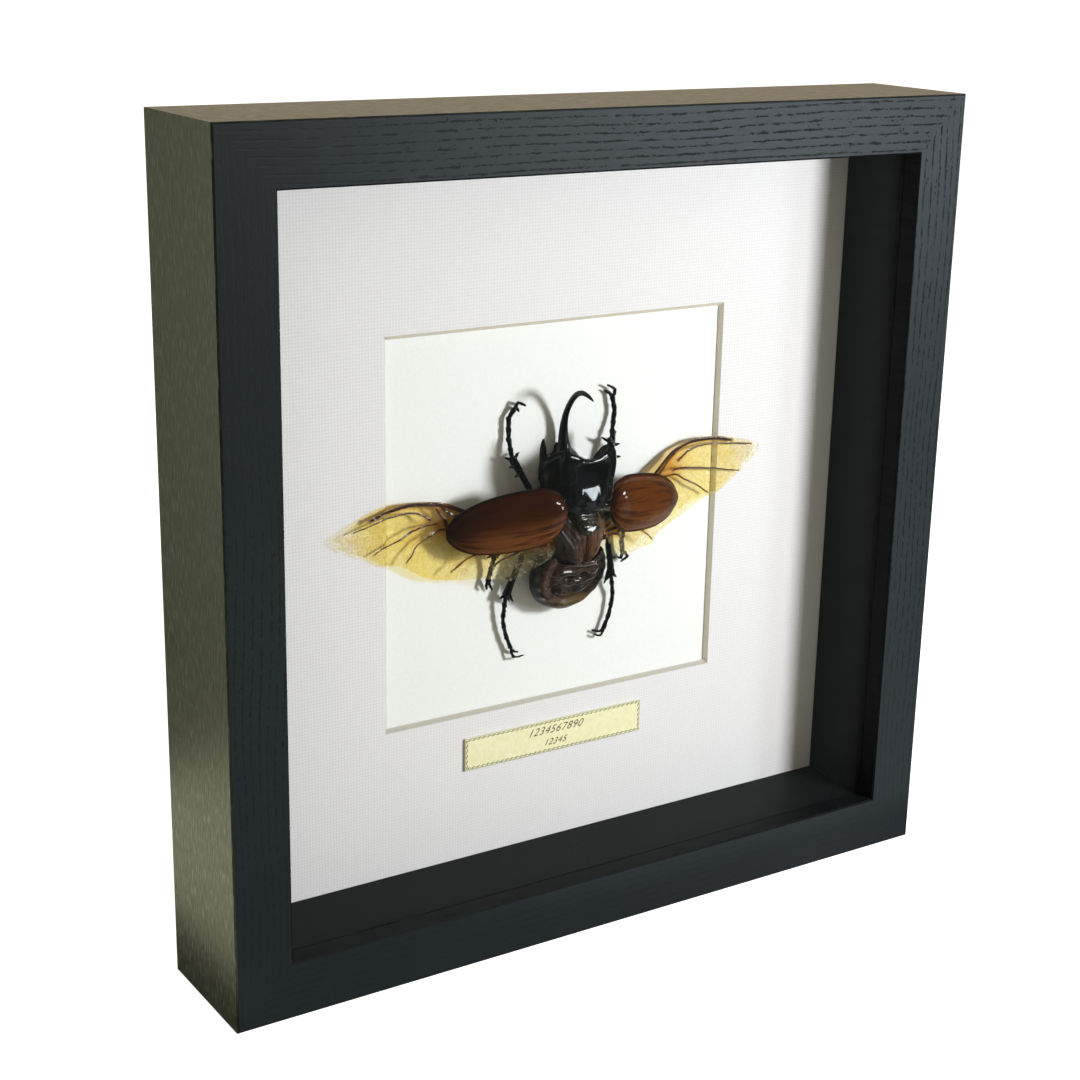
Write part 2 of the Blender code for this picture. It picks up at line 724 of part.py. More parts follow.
RIGHT_WING_VEINS = [
    [(0.0090, 0.0000), (0.0200, 0.0032), (0.0300, 0.0075), (0.0385, 0.0130), (0.0416, 0.0150),
     (0.0488, 0.0172), (0.0579, 0.0171), (0.0642, 0.0158)],
    [(0.0090, -0.0012), (0.0230, 0.0025), (0.0340, 0.0080), (0.0410, 0.0138)],
    [(0.0441, 0.0119), (0.0465, 0.0140), (0.0500, 0.0150), (0.0575, 0.0154), (0.0725, 0.0136)],
    [(0.0412, 0.0091), (0.0453, 0.0090), (0.0554, 0.0077), (0.0627, 0.0063), (0.0680, 0.0052)],
    [(0.0100, -0.0028), (0.0250, 0.0012), (0.0400, 0.0074), (0.0470, 0.0048), (0.0522, 0.0020),
     (0.0560, -0.0006)],
    [(0.0105, -0.0042), (0.0220, -0.0050), (0.0293, -0.0091), (0.0328, -0.0120)],
    [(0.0110, -0.0056), (0.0162, -0.0066), (0.0187, -0.0100), (0.0187, -0.0130)],
]


def distance_to_line(point, start, end):
    along = end - start
    share = max(0.0, min(1.0, (point - start).dot(along) / along.length_squared))
    return (point - start - share * along).length


def vein_rise(point, veins):
    """How far the nearest vein lifts the upper face, over half its width."""
    nearest = min(
        distance_to_line(point, start, end) for vein in veins for start, end in zip(vein, vein[1:])
    )
    return VEIN_RISE * max(0.0, 1 - nearest / (VEIN_WIDTH / 2))


def offset_line(line, distance):
    """The line moved sideways, point by point."""
    moved = []
    for index, point in enumerate(line):
        before = line[max(index - 1, 0)]
        after = line[min(index + 1, len(line) - 1)]
        along = (after - before).normalized()
        moved.append(point + distance * Vector((-along.y, along.x)))
    return moved


def make_wing(side_name, edge, veins, material, spacing=0.0042):
    """A membrane whose main veins stand up as ridges in its own surface."""
    outline = smooth_path([*edge, edge[0]], 2)[:-1]
    curves = [smooth_path(vein, 2) for vein in veins]
    points = list(outline)
    lines = [(index, (index + 1) % len(outline)) for index in range(len(outline))]
    for curve in curves:
        for distance in (-VEIN_WIDTH / 2, 0.0, VEIN_WIDTH / 2):
            start = len(points)
            points += offset_line(curve, distance)
            lines += [(index, index + 1) for index in range(start, len(points) - 1)]
    points += inner_points(outline, curves, spacing)
    flat, _, faces, *_ = delaunay_2d_cdt(points, lines, [], 1, 1e-6)
    rim = boundary_loop(faces)
    upper = []
    under = []
    for point in flat:
        height = wing_height(point.x)
        upper.append(place(point.x, point.y, height + WING_THICKNESS / 2 + vein_rise(point, curves)))
        under.append(place(point.x, point.y, height - WING_THICKNESS / 2))
    return thick_skin("wing_" + side_name, upper, under, [tuple(face) for face in faces], rim, material)


def inner_points(outline, curves, spacing):
    """A staggered grid inside the outline, clear of the edge and of the veins."""
    borders = [*curves, [*outline, outline[0]]]
    low_x, high_x = min(p.x for p in outline), max(p.x for p in outline)
    low_y, high_y = min(p.y for p in outline), max(p.y for p in outline)
    found = []
    for row in range(int((high_y - low_y) / spacing) + 1):
        for column in range(int((high_x - low_x) / spacing) + 1):
            point = Vector((low_x + (column + 0.5 * (row % 2)) * spacing, low_y + row * spacing))
            near = min(distance_to_line(point, a, b) for line in borders for a, b in zip(line, line[1:]))
            if near > 0.4 * spacing and is_inside(point, outline):
                found.append(point)
    return found


def is_inside(point, outline):
    crossings = 0
    for start, end in zip(outline, [*outline[1:], outline[0]]):
        if (start.y > point.y) != (end.y > point.y):
            x = start.x + (point.y - start.y) / (end.y - start.y) * (end.x - start.x)
            crossings += x > point.x
    return crossings % 2 == 1


def boundary_loop(faces):
    """The open edge of a sheet of triangles, in order."""
    following = {}
    edges = {(face[i], face[(i + 1) % len(face)]) for face in faces for i in range(len(face))}
    for start, end in edges:
        if (end, start) not in edges:
            following[start] = end
    loop = [next(iter(following))]
    while following[loop[-1]] != loop[0]:
        loop.append(following[loop[-1]])
    return loop


# Legs


def limb(name, start, end, widths, material):
    """A straight length of leg through evenly spaced widths."""
    shares = [index / (len(widths) - 1) for index in range(len(widths))]
    points = [between(start, end, share) for share in shares]
    return tube(name, points, [width / 2 for width in widths], 1, 8, material)


def spine(root, tip, material):
    return tube("spine", [root, between(root, tip, 0.6), tip], SPINE_RADII, 1, 6, material)


def between(start, end, share):
    return tuple(a + share * (b - a) for a, b in zip(start, end))


def make_leg(name, joints, teeth, material):
    """Thigh and shin of one leg, with the shin's teeth and spurs."""
    hip, knee, ankle = joints
    pieces = [
        limb("thigh", hip, knee, THIGH_WIDTHS, material),
        limb("shin", knee, ankle, SHIN_WIDTHS, material),
    ]
    for share, tip in teeth:
        pieces.append(spine(between(knee, ankle, share), tip, material))
    return fuse(name, pieces, material)


def make_tarsus(name, shin, points, claws, material):
    """The foot: five joints, each narrow at its root and wide at its end, and two claws."""
    knee, ankle = (Vector(point) for point in shin)
    root = ankle + GAP * (ankle - knee).normalized()
    path = [root, *(Vector(point) for point in points)]
    total = sum((end - start).length for start, end in zip(path, path[1:]))
    knots, radii = [], []
    for joint in range(FOOT_JOINTS):
        for share, radius in FOOT_JOINT_RADII:
            knots.append(point_along(path, total * (joint + share) / FOOT_JOINTS))
            radii.append(radius)
    pieces = [tube("foot", knots, radii, 1, 6, material)]
    pieces += [tube("claw", claw, CLAW_RADII, 2, 4, material) for claw in claws]
    return fuse(name, pieces, material)


def point_along(path, distance):
    for start, end in zip(path, path[1:]):
        length = (end - start).length
        if distance <= length:
            return start + (end - start) * (distance / length)
        distance -= length
    return path[-1].copy()


# Each leg's joints, the points of its foot, and the tips of its teeth and claws. A tooth also has
# its root's place, as a share of the shin's length.
LEGS = {
    "front_left": {
        "joints": [(-0.0060, 0.0105, 0.0066), (-0.0130, 0.0090, 0.0068), (-0.0182, 0.0200, 0.0032)],
        "teeth": [
            (0.60, (-0.0186, 0.0150, 0.0052)),
            (0.80, (-0.0202, 0.0180, 0.0046)),
            (0.97, (-0.0212, 0.0208, 0.0036)),
            (0.97, (-0.0155, 0.0216, 0.0024)),
        ],
        "foot": [(-0.0187, 0.0260, 0.0016), (-0.0187, 0.0322, 0.0015), (-0.0167, 0.0350, 0.0016)],
        "claws": [
            [(-0.0171, 0.0345, 0.0016), (-0.0158, 0.0366, 0.0020), (-0.0129, 0.0354, 0.0016)],
            [(-0.0171, 0.0345, 0.0015), (-0.0158, 0.0350, 0.0012), (-0.0148, 0.0336, 0.0009)],
        ],
    },
    "front_right": {
        "joints": [(0.0060, 0.0105, 0.0066), (0.0150, 0.0080, 0.0064), (0.0174, 0.0222, 0.0034)],
        "teeth": [
            (0.60, (0.0206, 0.0161, 0.0040)),
            (0.84, (0.0200, 0.0202, 0.0040)),
            (0.97, (0.0188, 0.0242, 0.0036)),
            (0.90, (0.0133, 0.0230, 0.0038)),
        ],
        "foot": [(0.0188, 0.0275, 0.0020), (0.0193, 0.0306, 0.0018), (0.0183, 0.0348, 0.0018)],
        "claws": [
            [(0.0184, 0.0343, 0.0018), (0.0190, 0.0370, 0.0022), (0.0163, 0.0386, 0.0020)],
            [(0.0184, 0.0343, 0.0018), (0.0174, 0.0360, 0.0014), (0.0157, 0.0368, 0.0010)],
        ],
    },
    "mid_left": {
        "joints": [(-0.0060, -0.0020, 0.0026), (-0.0170, -0.0020, 0.0044), (-0.0240, -0.0085, 0.0038)],
        "teeth": [(0.97, (-0.0262, -0.0098, 0.0026)), (0.97, (-0.0222, -0.0106, 0.0022))],
        "foot": [(-0.0247, -0.0140, 0.0022), (-0.0256, -0.0176, 0.0020)],
        "claws": [
            [(-0.0254, -0.0170, 0.0021), (-0.0262, -0.0186, 0.0022), (-0.0258, -0.0198, 0.0018)],
            [(-0.0254, -0.0170, 0.0019), (-0.0246, -0.0190, 0.0016), (-0.0238, -0.0205, 0.0016)],
        ],
    },
    "mid_right": {
        "joints": [(0.0060, -0.0020, 0.0026), (0.0170, -0.0015, 0.0044), (0.0228, -0.0070, 0.0038)],
        "teeth": [(0.97, (0.0250, -0.0082, 0.0026)), (0.97, (0.0212, -0.0092, 0.0022))],
        "foot": [(0.0229, -0.0120, 0.0025), (0.0236, -0.0158, 0.0024)],
        "claws": [
            [(0.0235, -0.0152, 0.0023), (0.0233, -0.0176, 0.0022), (0.0220, -0.0172, 0.0020)],
            [(0.0235, -0.0152, 0.0025), (0.0254, -0.0172, 0.0026), (0.0233, -0.0188, 0.0022)],
        ],
    },
    "hind_left": {
        "joints": [(-0.0060, -0.0080, 0.0024), (-0.0144, -0.0096, 0.0040), (-0.0198, -0.0226, 0.0032)],
        "teeth": [
            (0.60, (-0.0200, -0.0170, 0.0034)),
            (0.97, (-0.0218, -0.0236, 0.0026)),
            (0.97, (-0.0180, -0.0250, 0.0022)),
            (0.90, (-0.0166, -0.0255, 0.0022)),
        ],
        "foot": [(-0.0201, -0.0308, 0.0020), (-0.0190, -0.0356, 0.0018), (-0.0168, -0.0409, 0.0017)],
        "claws": [
            [(-0.0171, -0.0401, 0.0018), (-0.0160, -0.0436, 0.0020), (-0.0122, -0.0438, 0.0017)],
            [(-0.0171, -0.0401, 0.0016), (-0.0156, -0.0420, 0.0013), (-0.0138, -0.0426, 0.0011)],
        ],
    },
    "hind_right": {
        "joints": [(0.0060, -0.0080, 0.0024), (0.0166, -0.0092, 0.0040), (0.0188, -0.0218, 0.0034)],
        "teeth": [
            (0.60, (0.0206, -0.0164, 0.0036)),
            (0.97, (0.0213, -0.0235, 0.0028)),
            (0.97, (0.0176, -0.0242, 0.0024)),
            (0.75, (0.0168, -0.0250, 0.0026)),
        ],
        "foot": [(0.0206, -0.0295, 0.0020), (0.0198, -0.0350, 0.0018), (0.0175, -0.0407, 0.0018)],
        "claws": [
            [(0.0180, -0.0398, 0.0019), (0.0166, -0.0424, 0.0018), (0.0143, -0.0418, 0.0016)],
            [(0.0180, -0.0398, 0.0017), (0.0164, -0.0412, 0.0014), (0.0138, -0.0404, 0.0010)],
        ],
    },
}


def build():
    clear_scene()
    black_wood = make_material("black_stained_wood", (0.035, 0.042, 0.047), 0.5)
    black_card = make_material("black_liner", (0.012, 0.013, 0.014), 0.6)
    glass = make_material("clear_glass", (0.9, 0.95, 0.93), 0.05)
    mat_card = make_material("linen_mat", (0.78, 0.76, 0.77), 0.9)
    board_card = make_material("white_board", (0.9, 0.92, 0.91), 0.9)
    hardboard = make_material("hardboard", (0.22, 0.13, 0.07), 0.8)
    label_paper = make_material("cream_label", (0.85, 0.82, 0.5), 0.8)
    steel = make_material("steel", (0.6, 0.6, 0.6), 0.35, 1.0)
    black_shell = make_material("black_shell", (0.008, 0.008, 0.01), 0.12)
    brown_shell = make_material("brown_shell", (0.16, 0.05, 0.018), 0.25)
    brown_back = make_material("brown_back", (0.09, 0.045, 0.02), 0.4)
    belly = make_material("dark_belly", (0.035, 0.02, 0.014), 0.25)
    membrane = make_material("amber_membrane", (0.75, 0.5, 0.12), 0.35)

    make_frame(black_wood)
    make_liners(black_card)
    sheet("glass_pane", LIP_DEPTH + GAP, GLASS_THICKNESS, glass)
    make_window_mat(mat_card)
    sheet("mount_board", BOARD_FRONT, BOARD_THICKNESS, board_card)
    sheet("back_panel", PANEL_FRONT, PANEL_THICKNESS, hardboard)
    make_label(label_paper)
    make_back_tabs(steel)
    make_hanger(steel)

    pronotum = make_pronotum(black_shell)
    thorax = cut_clear(make_thorax(brown_back), pronotum)
    scutellum = cut_clear(make_scutellum(black_shell), pronotum, thorax)
    abdomen = cut_clear(make_abdomen(belly), thorax)
    head = cut_clear(make_head(black_shell), pronotum)
    head_horn = cut_clear(make_head_horn(black_shell), head, pronotum)
    mouthparts = cut_clear(make_mouthparts(black_shell), head, head_horn)
    for side_name, side in SIDES.items():
        cut_clear(make_eye(side_name, side, black_shell), head, pronotum)
        cut_clear(make_antenna(side_name, side, black_shell), head, mouthparts)
        cut_clear(make_front_horn(side_name, side, black_shell), pronotum)
        cut_clear(make_upper_horn(side_name, side, black_shell), pronotum)
    for leg_name, leg in LEGS.items():
        shin = make_leg("leg_" + leg_name, leg["joints"], leg["teeth"], black_shell)
        shin = cut_clear(shin, pronotum, thorax, abdomen)
        foot = make_tarsus("tarsus_" + leg_name, leg["joints"][1:], leg["foot"], leg["claws"], black_shell)
        cut_clear(foot, shin)
    cut_clear(make_wing("left", LEFT_WING_EDGE, LEFT_WING_VEINS, membrane), thorax, abdomen)
    cut_clear(make_wing("right", RIGHT_WING_EDGE, RIGHT_WING_VEINS, membrane), thorax, abdomen)
    for side_name, side in SIDES.items():
        cut_clear(make_elytron(side_name, side, brown_shell), pronotum, thorax, scutellum)


build()
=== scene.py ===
"""Looks of a horned beetle with spread wings in a deep black box frame.

Metres, in the frame's own axes: X across its front, Y into it and Z up. A place on the beetle is
(across, forward, height): across its body towards +X, forward to its head, and height above the board.
"""

import math
import random

import bpy
import numpy as np
from mathutils import Matrix, Vector
from mathutils.geometry import delaunay_2d_cdt


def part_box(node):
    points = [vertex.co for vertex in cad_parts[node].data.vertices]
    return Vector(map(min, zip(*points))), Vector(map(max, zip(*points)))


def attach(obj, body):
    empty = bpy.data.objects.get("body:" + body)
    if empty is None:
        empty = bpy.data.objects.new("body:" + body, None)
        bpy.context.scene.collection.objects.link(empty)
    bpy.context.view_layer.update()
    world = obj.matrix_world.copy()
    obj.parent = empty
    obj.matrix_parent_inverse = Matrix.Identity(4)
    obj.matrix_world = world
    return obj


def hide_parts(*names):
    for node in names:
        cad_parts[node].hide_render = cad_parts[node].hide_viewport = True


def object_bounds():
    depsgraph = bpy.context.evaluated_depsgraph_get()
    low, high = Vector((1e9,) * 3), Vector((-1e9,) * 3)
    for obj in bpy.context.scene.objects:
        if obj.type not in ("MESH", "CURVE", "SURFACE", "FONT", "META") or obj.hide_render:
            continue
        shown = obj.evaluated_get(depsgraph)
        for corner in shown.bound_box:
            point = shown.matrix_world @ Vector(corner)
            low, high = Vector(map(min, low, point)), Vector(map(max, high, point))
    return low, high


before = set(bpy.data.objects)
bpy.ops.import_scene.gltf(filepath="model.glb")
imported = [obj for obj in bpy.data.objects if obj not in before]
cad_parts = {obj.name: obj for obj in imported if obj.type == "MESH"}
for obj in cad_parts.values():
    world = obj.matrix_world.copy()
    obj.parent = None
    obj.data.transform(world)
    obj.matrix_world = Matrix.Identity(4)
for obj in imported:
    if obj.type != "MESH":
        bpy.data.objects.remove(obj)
cad_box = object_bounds()

MM = 0.001
IN_MM = 1000
SOLID_GAP = 0.3 * MM
CASE_LOW, CASE_HIGH = cad_box
MIDDLE = (CASE_LOW.z + CASE_HIGH.z) / 2
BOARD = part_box("mount_board")[0].y - SOLID_GAP
MAT_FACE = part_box("window_mat")[0].y
LABEL_LOW, LABEL_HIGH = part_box("label")
MITRE_GAP = CASE_HIGH.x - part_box("frame_top")[1].x
WALL_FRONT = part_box("liner_top")[0].y + 0.1 * MM
LIP_WIDTH = 8 * MM
LIP_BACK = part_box("glass_pane")[0].y + 0.05 * MM
BACK_TABS = [f"back_tab_{number}" for number in range(1, 9)]

# The photograph's camera
CAMERA_PLACE = (-0.3232, -0.4761, 0.2986)
CAMERA_YAW = math.radians(33.402)
CAMERA_PITCH = math.radians(17.392)
CAMERA_ROLL = math.radians(1.279)
CAMERA_LENS = 66.47
CAMERA_SHIFT = (-0.0126, 0.0032)

rng = random.Random(5)


# Shader maths


class Value:
    """An output socket that does sums: an expression on values adds the Math nodes it needs."""

    def __init__(self, tree, socket):
        self.tree, self.socket = tree, socket

    def maths(self, operation, *values):
        return node(self.tree, "ShaderNodeMath", {"operation": operation}, values)

    def __add__(self, other):
        return self.maths("ADD", self, other)

    def __radd__(self, other):
        return self.maths("ADD", other, self)

    def __sub__(self, other):
        return self.maths("SUBTRACT", self, other)

    def __rsub__(self, other):
        return self.maths("SUBTRACT", other, self)

    def __mul__(self, other):
        return self.maths("MULTIPLY", self, other)

    def __rmul__(self, other):
        return self.maths("MULTIPLY", other, self)

    def absolute(self):
        return self.maths("ABSOLUTE", self)

    def sine(self):
        return self.maths("SINE", self)

    def least(self, other):
        return self.maths("MINIMUM", self, other)

    def most(self, other):
        return self.maths("MAXIMUM", self, other)

    def ramp(self, low, high):
        """0 below low, 1 above high and smooth between."""
        return node(
            self.tree,
            "ShaderNodeMapRange",
            {"interpolation_type": "SMOOTHSTEP"},
            {"Value": self, "From Min": low, "From Max": high},
        )


def node(tree, kind, settings=None, inputs=(), output=0):
    """A node with its settings made first, then the values or links of its sockets."""
    made = tree.nodes.new(kind)
    for name, value in (settings or {}).items():
        setattr(made, name, value)
    for key, value in inputs.items() if isinstance(inputs, dict) else enumerate(inputs):
        if isinstance(value, Value):
            tree.links.new(value.socket, made.inputs[key])
        else:
            made.inputs[key].default_value = value
    return Value(tree, made.outputs[output])


class Finish:
    """One material, with the patterns that its colour, gloss and relief are made of."""

    def __init__(self, name, **plain):
        self.material = bpy.data.materials.new(name)
        self.material.use_nodes = True
        self.tree = self.material.node_tree
        self.shader = self.tree.nodes["Principled BSDF"]
        for socket, value in plain.items():
            self.shader.inputs[socket.replace("_", " ")].default_value = value
        self.place = node(self.tree, "ShaderNodeTexCoord", output=3)

    def set(self, name, value):
        self.tree.links.new(value.socket, self.shader.inputs[name])

    def axes(self):
        """Object coordinates in millimetres, as three values."""
        split = node(self.tree, "ShaderNodeSeparateXYZ", inputs=(self.place,))
        return [Value(self.tree, socket) * IN_MM for socket in split.socket.node.outputs]

    def vector(self, x, y, z):
        return node(self.tree, "ShaderNodeCombineXYZ", inputs=(x, y, z))

    def noise(self, scale, detail=3.0, roughness=0.5, place=None, distortion=0.0):
        inputs = {"Scale": scale, "Detail": detail, "Roughness": roughness, "Distortion": distortion}
        inputs["Vector"] = place or self.place
        return node(self.tree, "ShaderNodeTexNoise", {"noise_dimensions": "3D"}, inputs)

    def cells(self, scale):
        inputs = {"Scale": scale, "Vector": self.place}
        return node(self.tree, "ShaderNodeTexVoronoi", {"feature": "F1"}, inputs)

    def attribute(self, name):
        return node(self.tree, "ShaderNodeAttribute", {"attribute_name": name}, output=2)

    def mix(self, share, first, second):
        """One colour turning into another."""
        colours = [c if isinstance(c, Value) else (*c, 1) for c in (first, second)]
        inputs = {0: share, 6: colours[0], 7: colours[1]}
        return node(self.tree, "ShaderNodeMix", {"data_type": "RGBA"}, inputs, output=2)

    def paint(self, share, first, second):
        self.set("Base Color", self.mix(share, first, second))

    def relief(self, height, depth, strength):
        """Bump from a height between 0 and 1, that many metres deep."""
        bump = {"Height": height, "Distance": depth, "Strength": strength}
        self.set("Normal", node(self.tree, "ShaderNodeBump", inputs=bump))


# Finishes of the frame and what it holds


def stained_ash(name, along):
    """Ash stained black, with rows of open pores along the bar, and a paler outside with hair lines."""
    finish = Finish(name, Specular_IOR_Level=0.33)
    x, y, z = finish.axes()
    upright = z - MIDDLE * IN_MM
    length, across = (x, upright) if along == "x" else (upright, x)
    drift = finish.noise(1.0, 2.0, 0.5, finish.vector(length * 0.008, across * 0.03, y * 0.03))
    waved = across + y * 0.8 + drift * (5.0 if along == "x" else 11.0)
    row = 1 - (waved * 1.36).sine().absolute().ramp(0.0, 0.75)
    dash = finish.noise(1.0, 2.0, 0.5, finish.vector(length * 0.42, waved * 0.9, y * 0.3))
    ragged = finish.noise(1.0, 3.0, 0.65, finish.vector(length * 1.3, waved * 3.2, y * 3.2))
    fine = finish.noise(1.0, 2.0, 0.6, finish.vector(length * 0.22, across * 2.6, y * 2.6))
    pore = (row + (dash - 0.5) * 3.4 + (ragged - 0.5) * 2.4).ramp(0.60, 0.92)
    half_case = CASE_HIGH.x * IN_MM
    outside = x.absolute().most(upright.absolute()).ramp(half_case - 0.4, half_case - 0.1)
    # Painted light: the pores are drawn fainter towards the bottom and the left, where the bars catch
    # less light.
    pore_lighting = (0.25 + 0.75 * upright.ramp(-120.0, 0.0)) * (0.85 + 0.15 * x.ramp(-125.0, -50.0))
    open_pore = pore * (1 - outside * 0.75) * pore_lighting
    hair_line = fine.ramp(0.47, 0.68)
    clouds = finish.noise(9.0, 3.0)
    front = finish.mix(clouds.ramp(0.3, 0.75), (0.013, 0.018, 0.021), (0.019, 0.026, 0.030))
    streaked = finish.mix(hair_line, (0.014, 0.016, 0.011), (0.082, 0.086, 0.068))
    front = finish.mix(hair_line * 0.3, front, (0.010, 0.014, 0.016))
    # Painted shade darkens the bottom bar towards its right end.
    low_bar_shade = (1 - upright.ramp(-118.0, -105.0)) * x.ramp(-90.0, 20.0) * 0.5
    front = finish.mix(low_bar_shade, front, (0.003, 0.004, 0.005))
    # Painted shade darkens the upper part of the left bar and the left end of the top bar.
    upper_left_shade = (1 - x.ramp(-110.0, -30.0)) * upright.ramp(-60.0, 60.0) * 0.5
    front = finish.mix(upper_left_shade, front, (0.004, 0.006, 0.007))
    board = finish.mix(outside, front, streaked)
    finish.paint(open_pore, board, (0.004, 0.005, 0.006))
    finish.set("Roughness", 0.38 + open_pore * 0.3 - outside * hair_line * 0.08)
    finish.relief(1 - open_pore * 0.85 - hair_line * 0.15, 0.10 * MM, 0.2)
    return finish.material


def liner_paint():
    """Smooth matt black paint on the inner walls, with faint brush lines along the depth."""
    finish = Finish("liner_paint", Specular_IOR_Level=0.05)
    x, y, z = finish.axes()
    strokes = finish.noise(1.0, 2.0, 0.5, finish.vector(x * 0.6, y * 0.1, z * 0.6))
    finish.paint(strokes.ramp(0.3, 0.7), (0.004, 0.0045, 0.005), (0.007, 0.008, 0.0085))
    finish.set("Roughness", 0.42 + 0.16 * strokes)
    finish.relief(strokes, 0.05 * MM, 0.5)
    return finish.material


def picture_glass():
    """Clear glass, as a sheet that lets nearly all light through and keeps a faint gloss."""
    tint = (0.04, 0.05, 0.047, 1)
    finish = Finish("picture_glass", Base_Color=tint, Roughness=0.05, Alpha=0.05, Specular_IOR_Level=0.0)
    return finish.material


def linen_card():
    """White card with a linen weave, and the cream core of its window, with painted shade making it
    greyer at the left and below.
    """
    finish = Finish("linen_card", Roughness=0.85, Specular_IOR_Level=0.25)
    x, y, z = finish.axes()
    warp = finish.noise(1.0, 1.0, 0.5, finish.vector(x * 2.7, z * 0.5, y))
    weft = finish.noise(1.0, 1.0, 0.5, finish.vector(x * 0.5, z * 2.7, y))
    threads = ((z * 6.4 + warp * 3.0).sine() + (x * 6.4 + weft * 3.0).sine()) * 0.25 + 0.5
    weave = (warp + weft) * 0.25 + threads * 0.5
    tint = finish.mix(weave.ramp(0.35, 0.65), (0.755, 0.752, 0.770), (0.828, 0.825, 0.846))
    core = finish.noise(900.0, 2.0)
    cream = finish.mix(core.ramp(0.3, 0.75), (0.65, 0.61, 0.50), (0.71, 0.67, 0.555))
    # Painted shade: the window's bevel is greyed on the left and darkened at the bottom.
    off_left_shade = x.ramp(-60.0, -58.0)
    off_low_shade = (z - MIDDLE * IN_MM).ramp(-60.0, -58.0)
    bevel = finish.mix(off_left_shade, (0.56, 0.56, 0.56), cream)
    bevel = finish.mix(off_low_shade, (0.47, 0.45, 0.39), bevel)
    is_cut = (y - MAT_FACE * IN_MM).ramp(0.02, 0.06)
    finish.paint(is_cut, tint, bevel)
    finish.relief(weave, 0.1 * MM, 0.5)
    return finish.material


def mount_card():
    """The smooth white board behind the beetle."""
    finish = Finish("mount_card", Roughness=0.9, Specular_IOR_Level=0.2)
    tooth = finish.noise(1500.0, 3.0, 0.6)
    finish.paint(tooth.ramp(0.3, 0.7), (0.85, 0.875, 0.865), (0.89, 0.915, 0.905))
    finish.relief(tooth, 0.03 * MM, 0.5)
    return finish.material


def label_paper():
    """Cream paper with a double printed border, the inner line twisted like a cord."""
    finish = Finish("label_paper", Roughness=0.75)
    x, _, z = finish.axes()
    half_x = (LABEL_HIGH.x - LABEL_LOW.x) / 2 * IN_MM
    half_z = (LABEL_HIGH.z - LABEL_LOW.z) / 2 * IN_MM
    middle = (LABEL_HIGH.z + LABEL_LOW.z) / 2 * IN_MM
    inset = (half_x - x.absolute()).least(half_z - (z - middle).absolute())
    outer = (1 - (inset - 0.16).absolute().ramp(0.08, 0.16)) * 0.7
    twist = ((x + z) * 3.6).sine()
    cord = 1 - (inset - 0.66 - twist * 0.18).absolute().ramp(0.10, 0.20)
    fibres = finish.noise(700.0, 4.0, 0.6)
    paper = finish.mix(fibres.ramp(0.3, 0.7), (0.86, 0.83, 0.50), (0.93, 0.90, 0.60))
    finish.paint(outer.most(cord) * 0.85, paper, (0.09, 0.11, 0.07))
    finish.relief(fibres, 0.02 * MM, 0.5)
    return finish.material


def hardboard():
    """Speckled brown board, for the back."""
    finish = Finish("hardboard", Roughness=0.7)
    speckle = finish.noise(900.0, 4.0, 0.7)
    clouds = finish.noise(25.0, 3.0)
    light = finish.mix(clouds.ramp(0.3, 0.7), (0.20, 0.12, 0.065), (0.26, 0.165, 0.095))
    finish.paint(speckle.ramp(0.45, 0.75), light, (0.09, 0.05, 0.028))
    finish.relief(speckle, 0.06 * MM, 0.6)
    return finish.material


def zinc_steel():
    """Zinc-coated sheet with a faint spangle, for the holding points and the hanging strip."""
    finish = Finish("zinc_steel", Metallic=1.0)
    x, y, z = finish.axes()
    brushed = finish.noise(1.0, 2.0, 0.5, finish.vector(x * 0.4, y, z * 8.0))
    spangle = finish.cells(400.0)
    finish.paint(spangle.ramp(0.1, 0.8), (0.5, 0.5, 0.49), (0.68, 0.68, 0.66))
    finish.set("Roughness", 0.26 + 0.24 * brushed)
    return finish.material


# Finishes of the beetle


def black_shell():
    """Glossy black shell with a faint leathery relief."""
    finish = Finish("black_shell", Coat_Roughness=0.03, Specular_IOR_Level=0.06)
    cloud = finish.noise(220.0, 4.0, 0.6)
    flank = finish.attribute("flank")
    finish.set("Coat Weight", 0.95 - 0.95 * flank)
    finish.paint(cloud.ramp(0.4, 0.75), (0.002, 0.002, 0.003), (0.005, 0.006, 0.006))
    finish.set("Roughness", 0.08 + 0.12 * cloud.ramp(0.35, 0.7) + 0.6 * flank)
    finish.relief(cloud, 0.012 * MM, 0.2)
    return finish.material


def horn_shell():
    """The dull black of the horns and legs."""
    finish = Finish("horn_shell", Base_Color=(0.0025, 0.0025, 0.003, 1), Specular_IOR_Level=0.16)
    grain = finish.noise(900.0, 3.0, 0.6)
    finish.set("Roughness", 0.22 + 0.2 * grain)
    finish.relief(grain, 0.05 * MM, 0.4)
    return finish.material


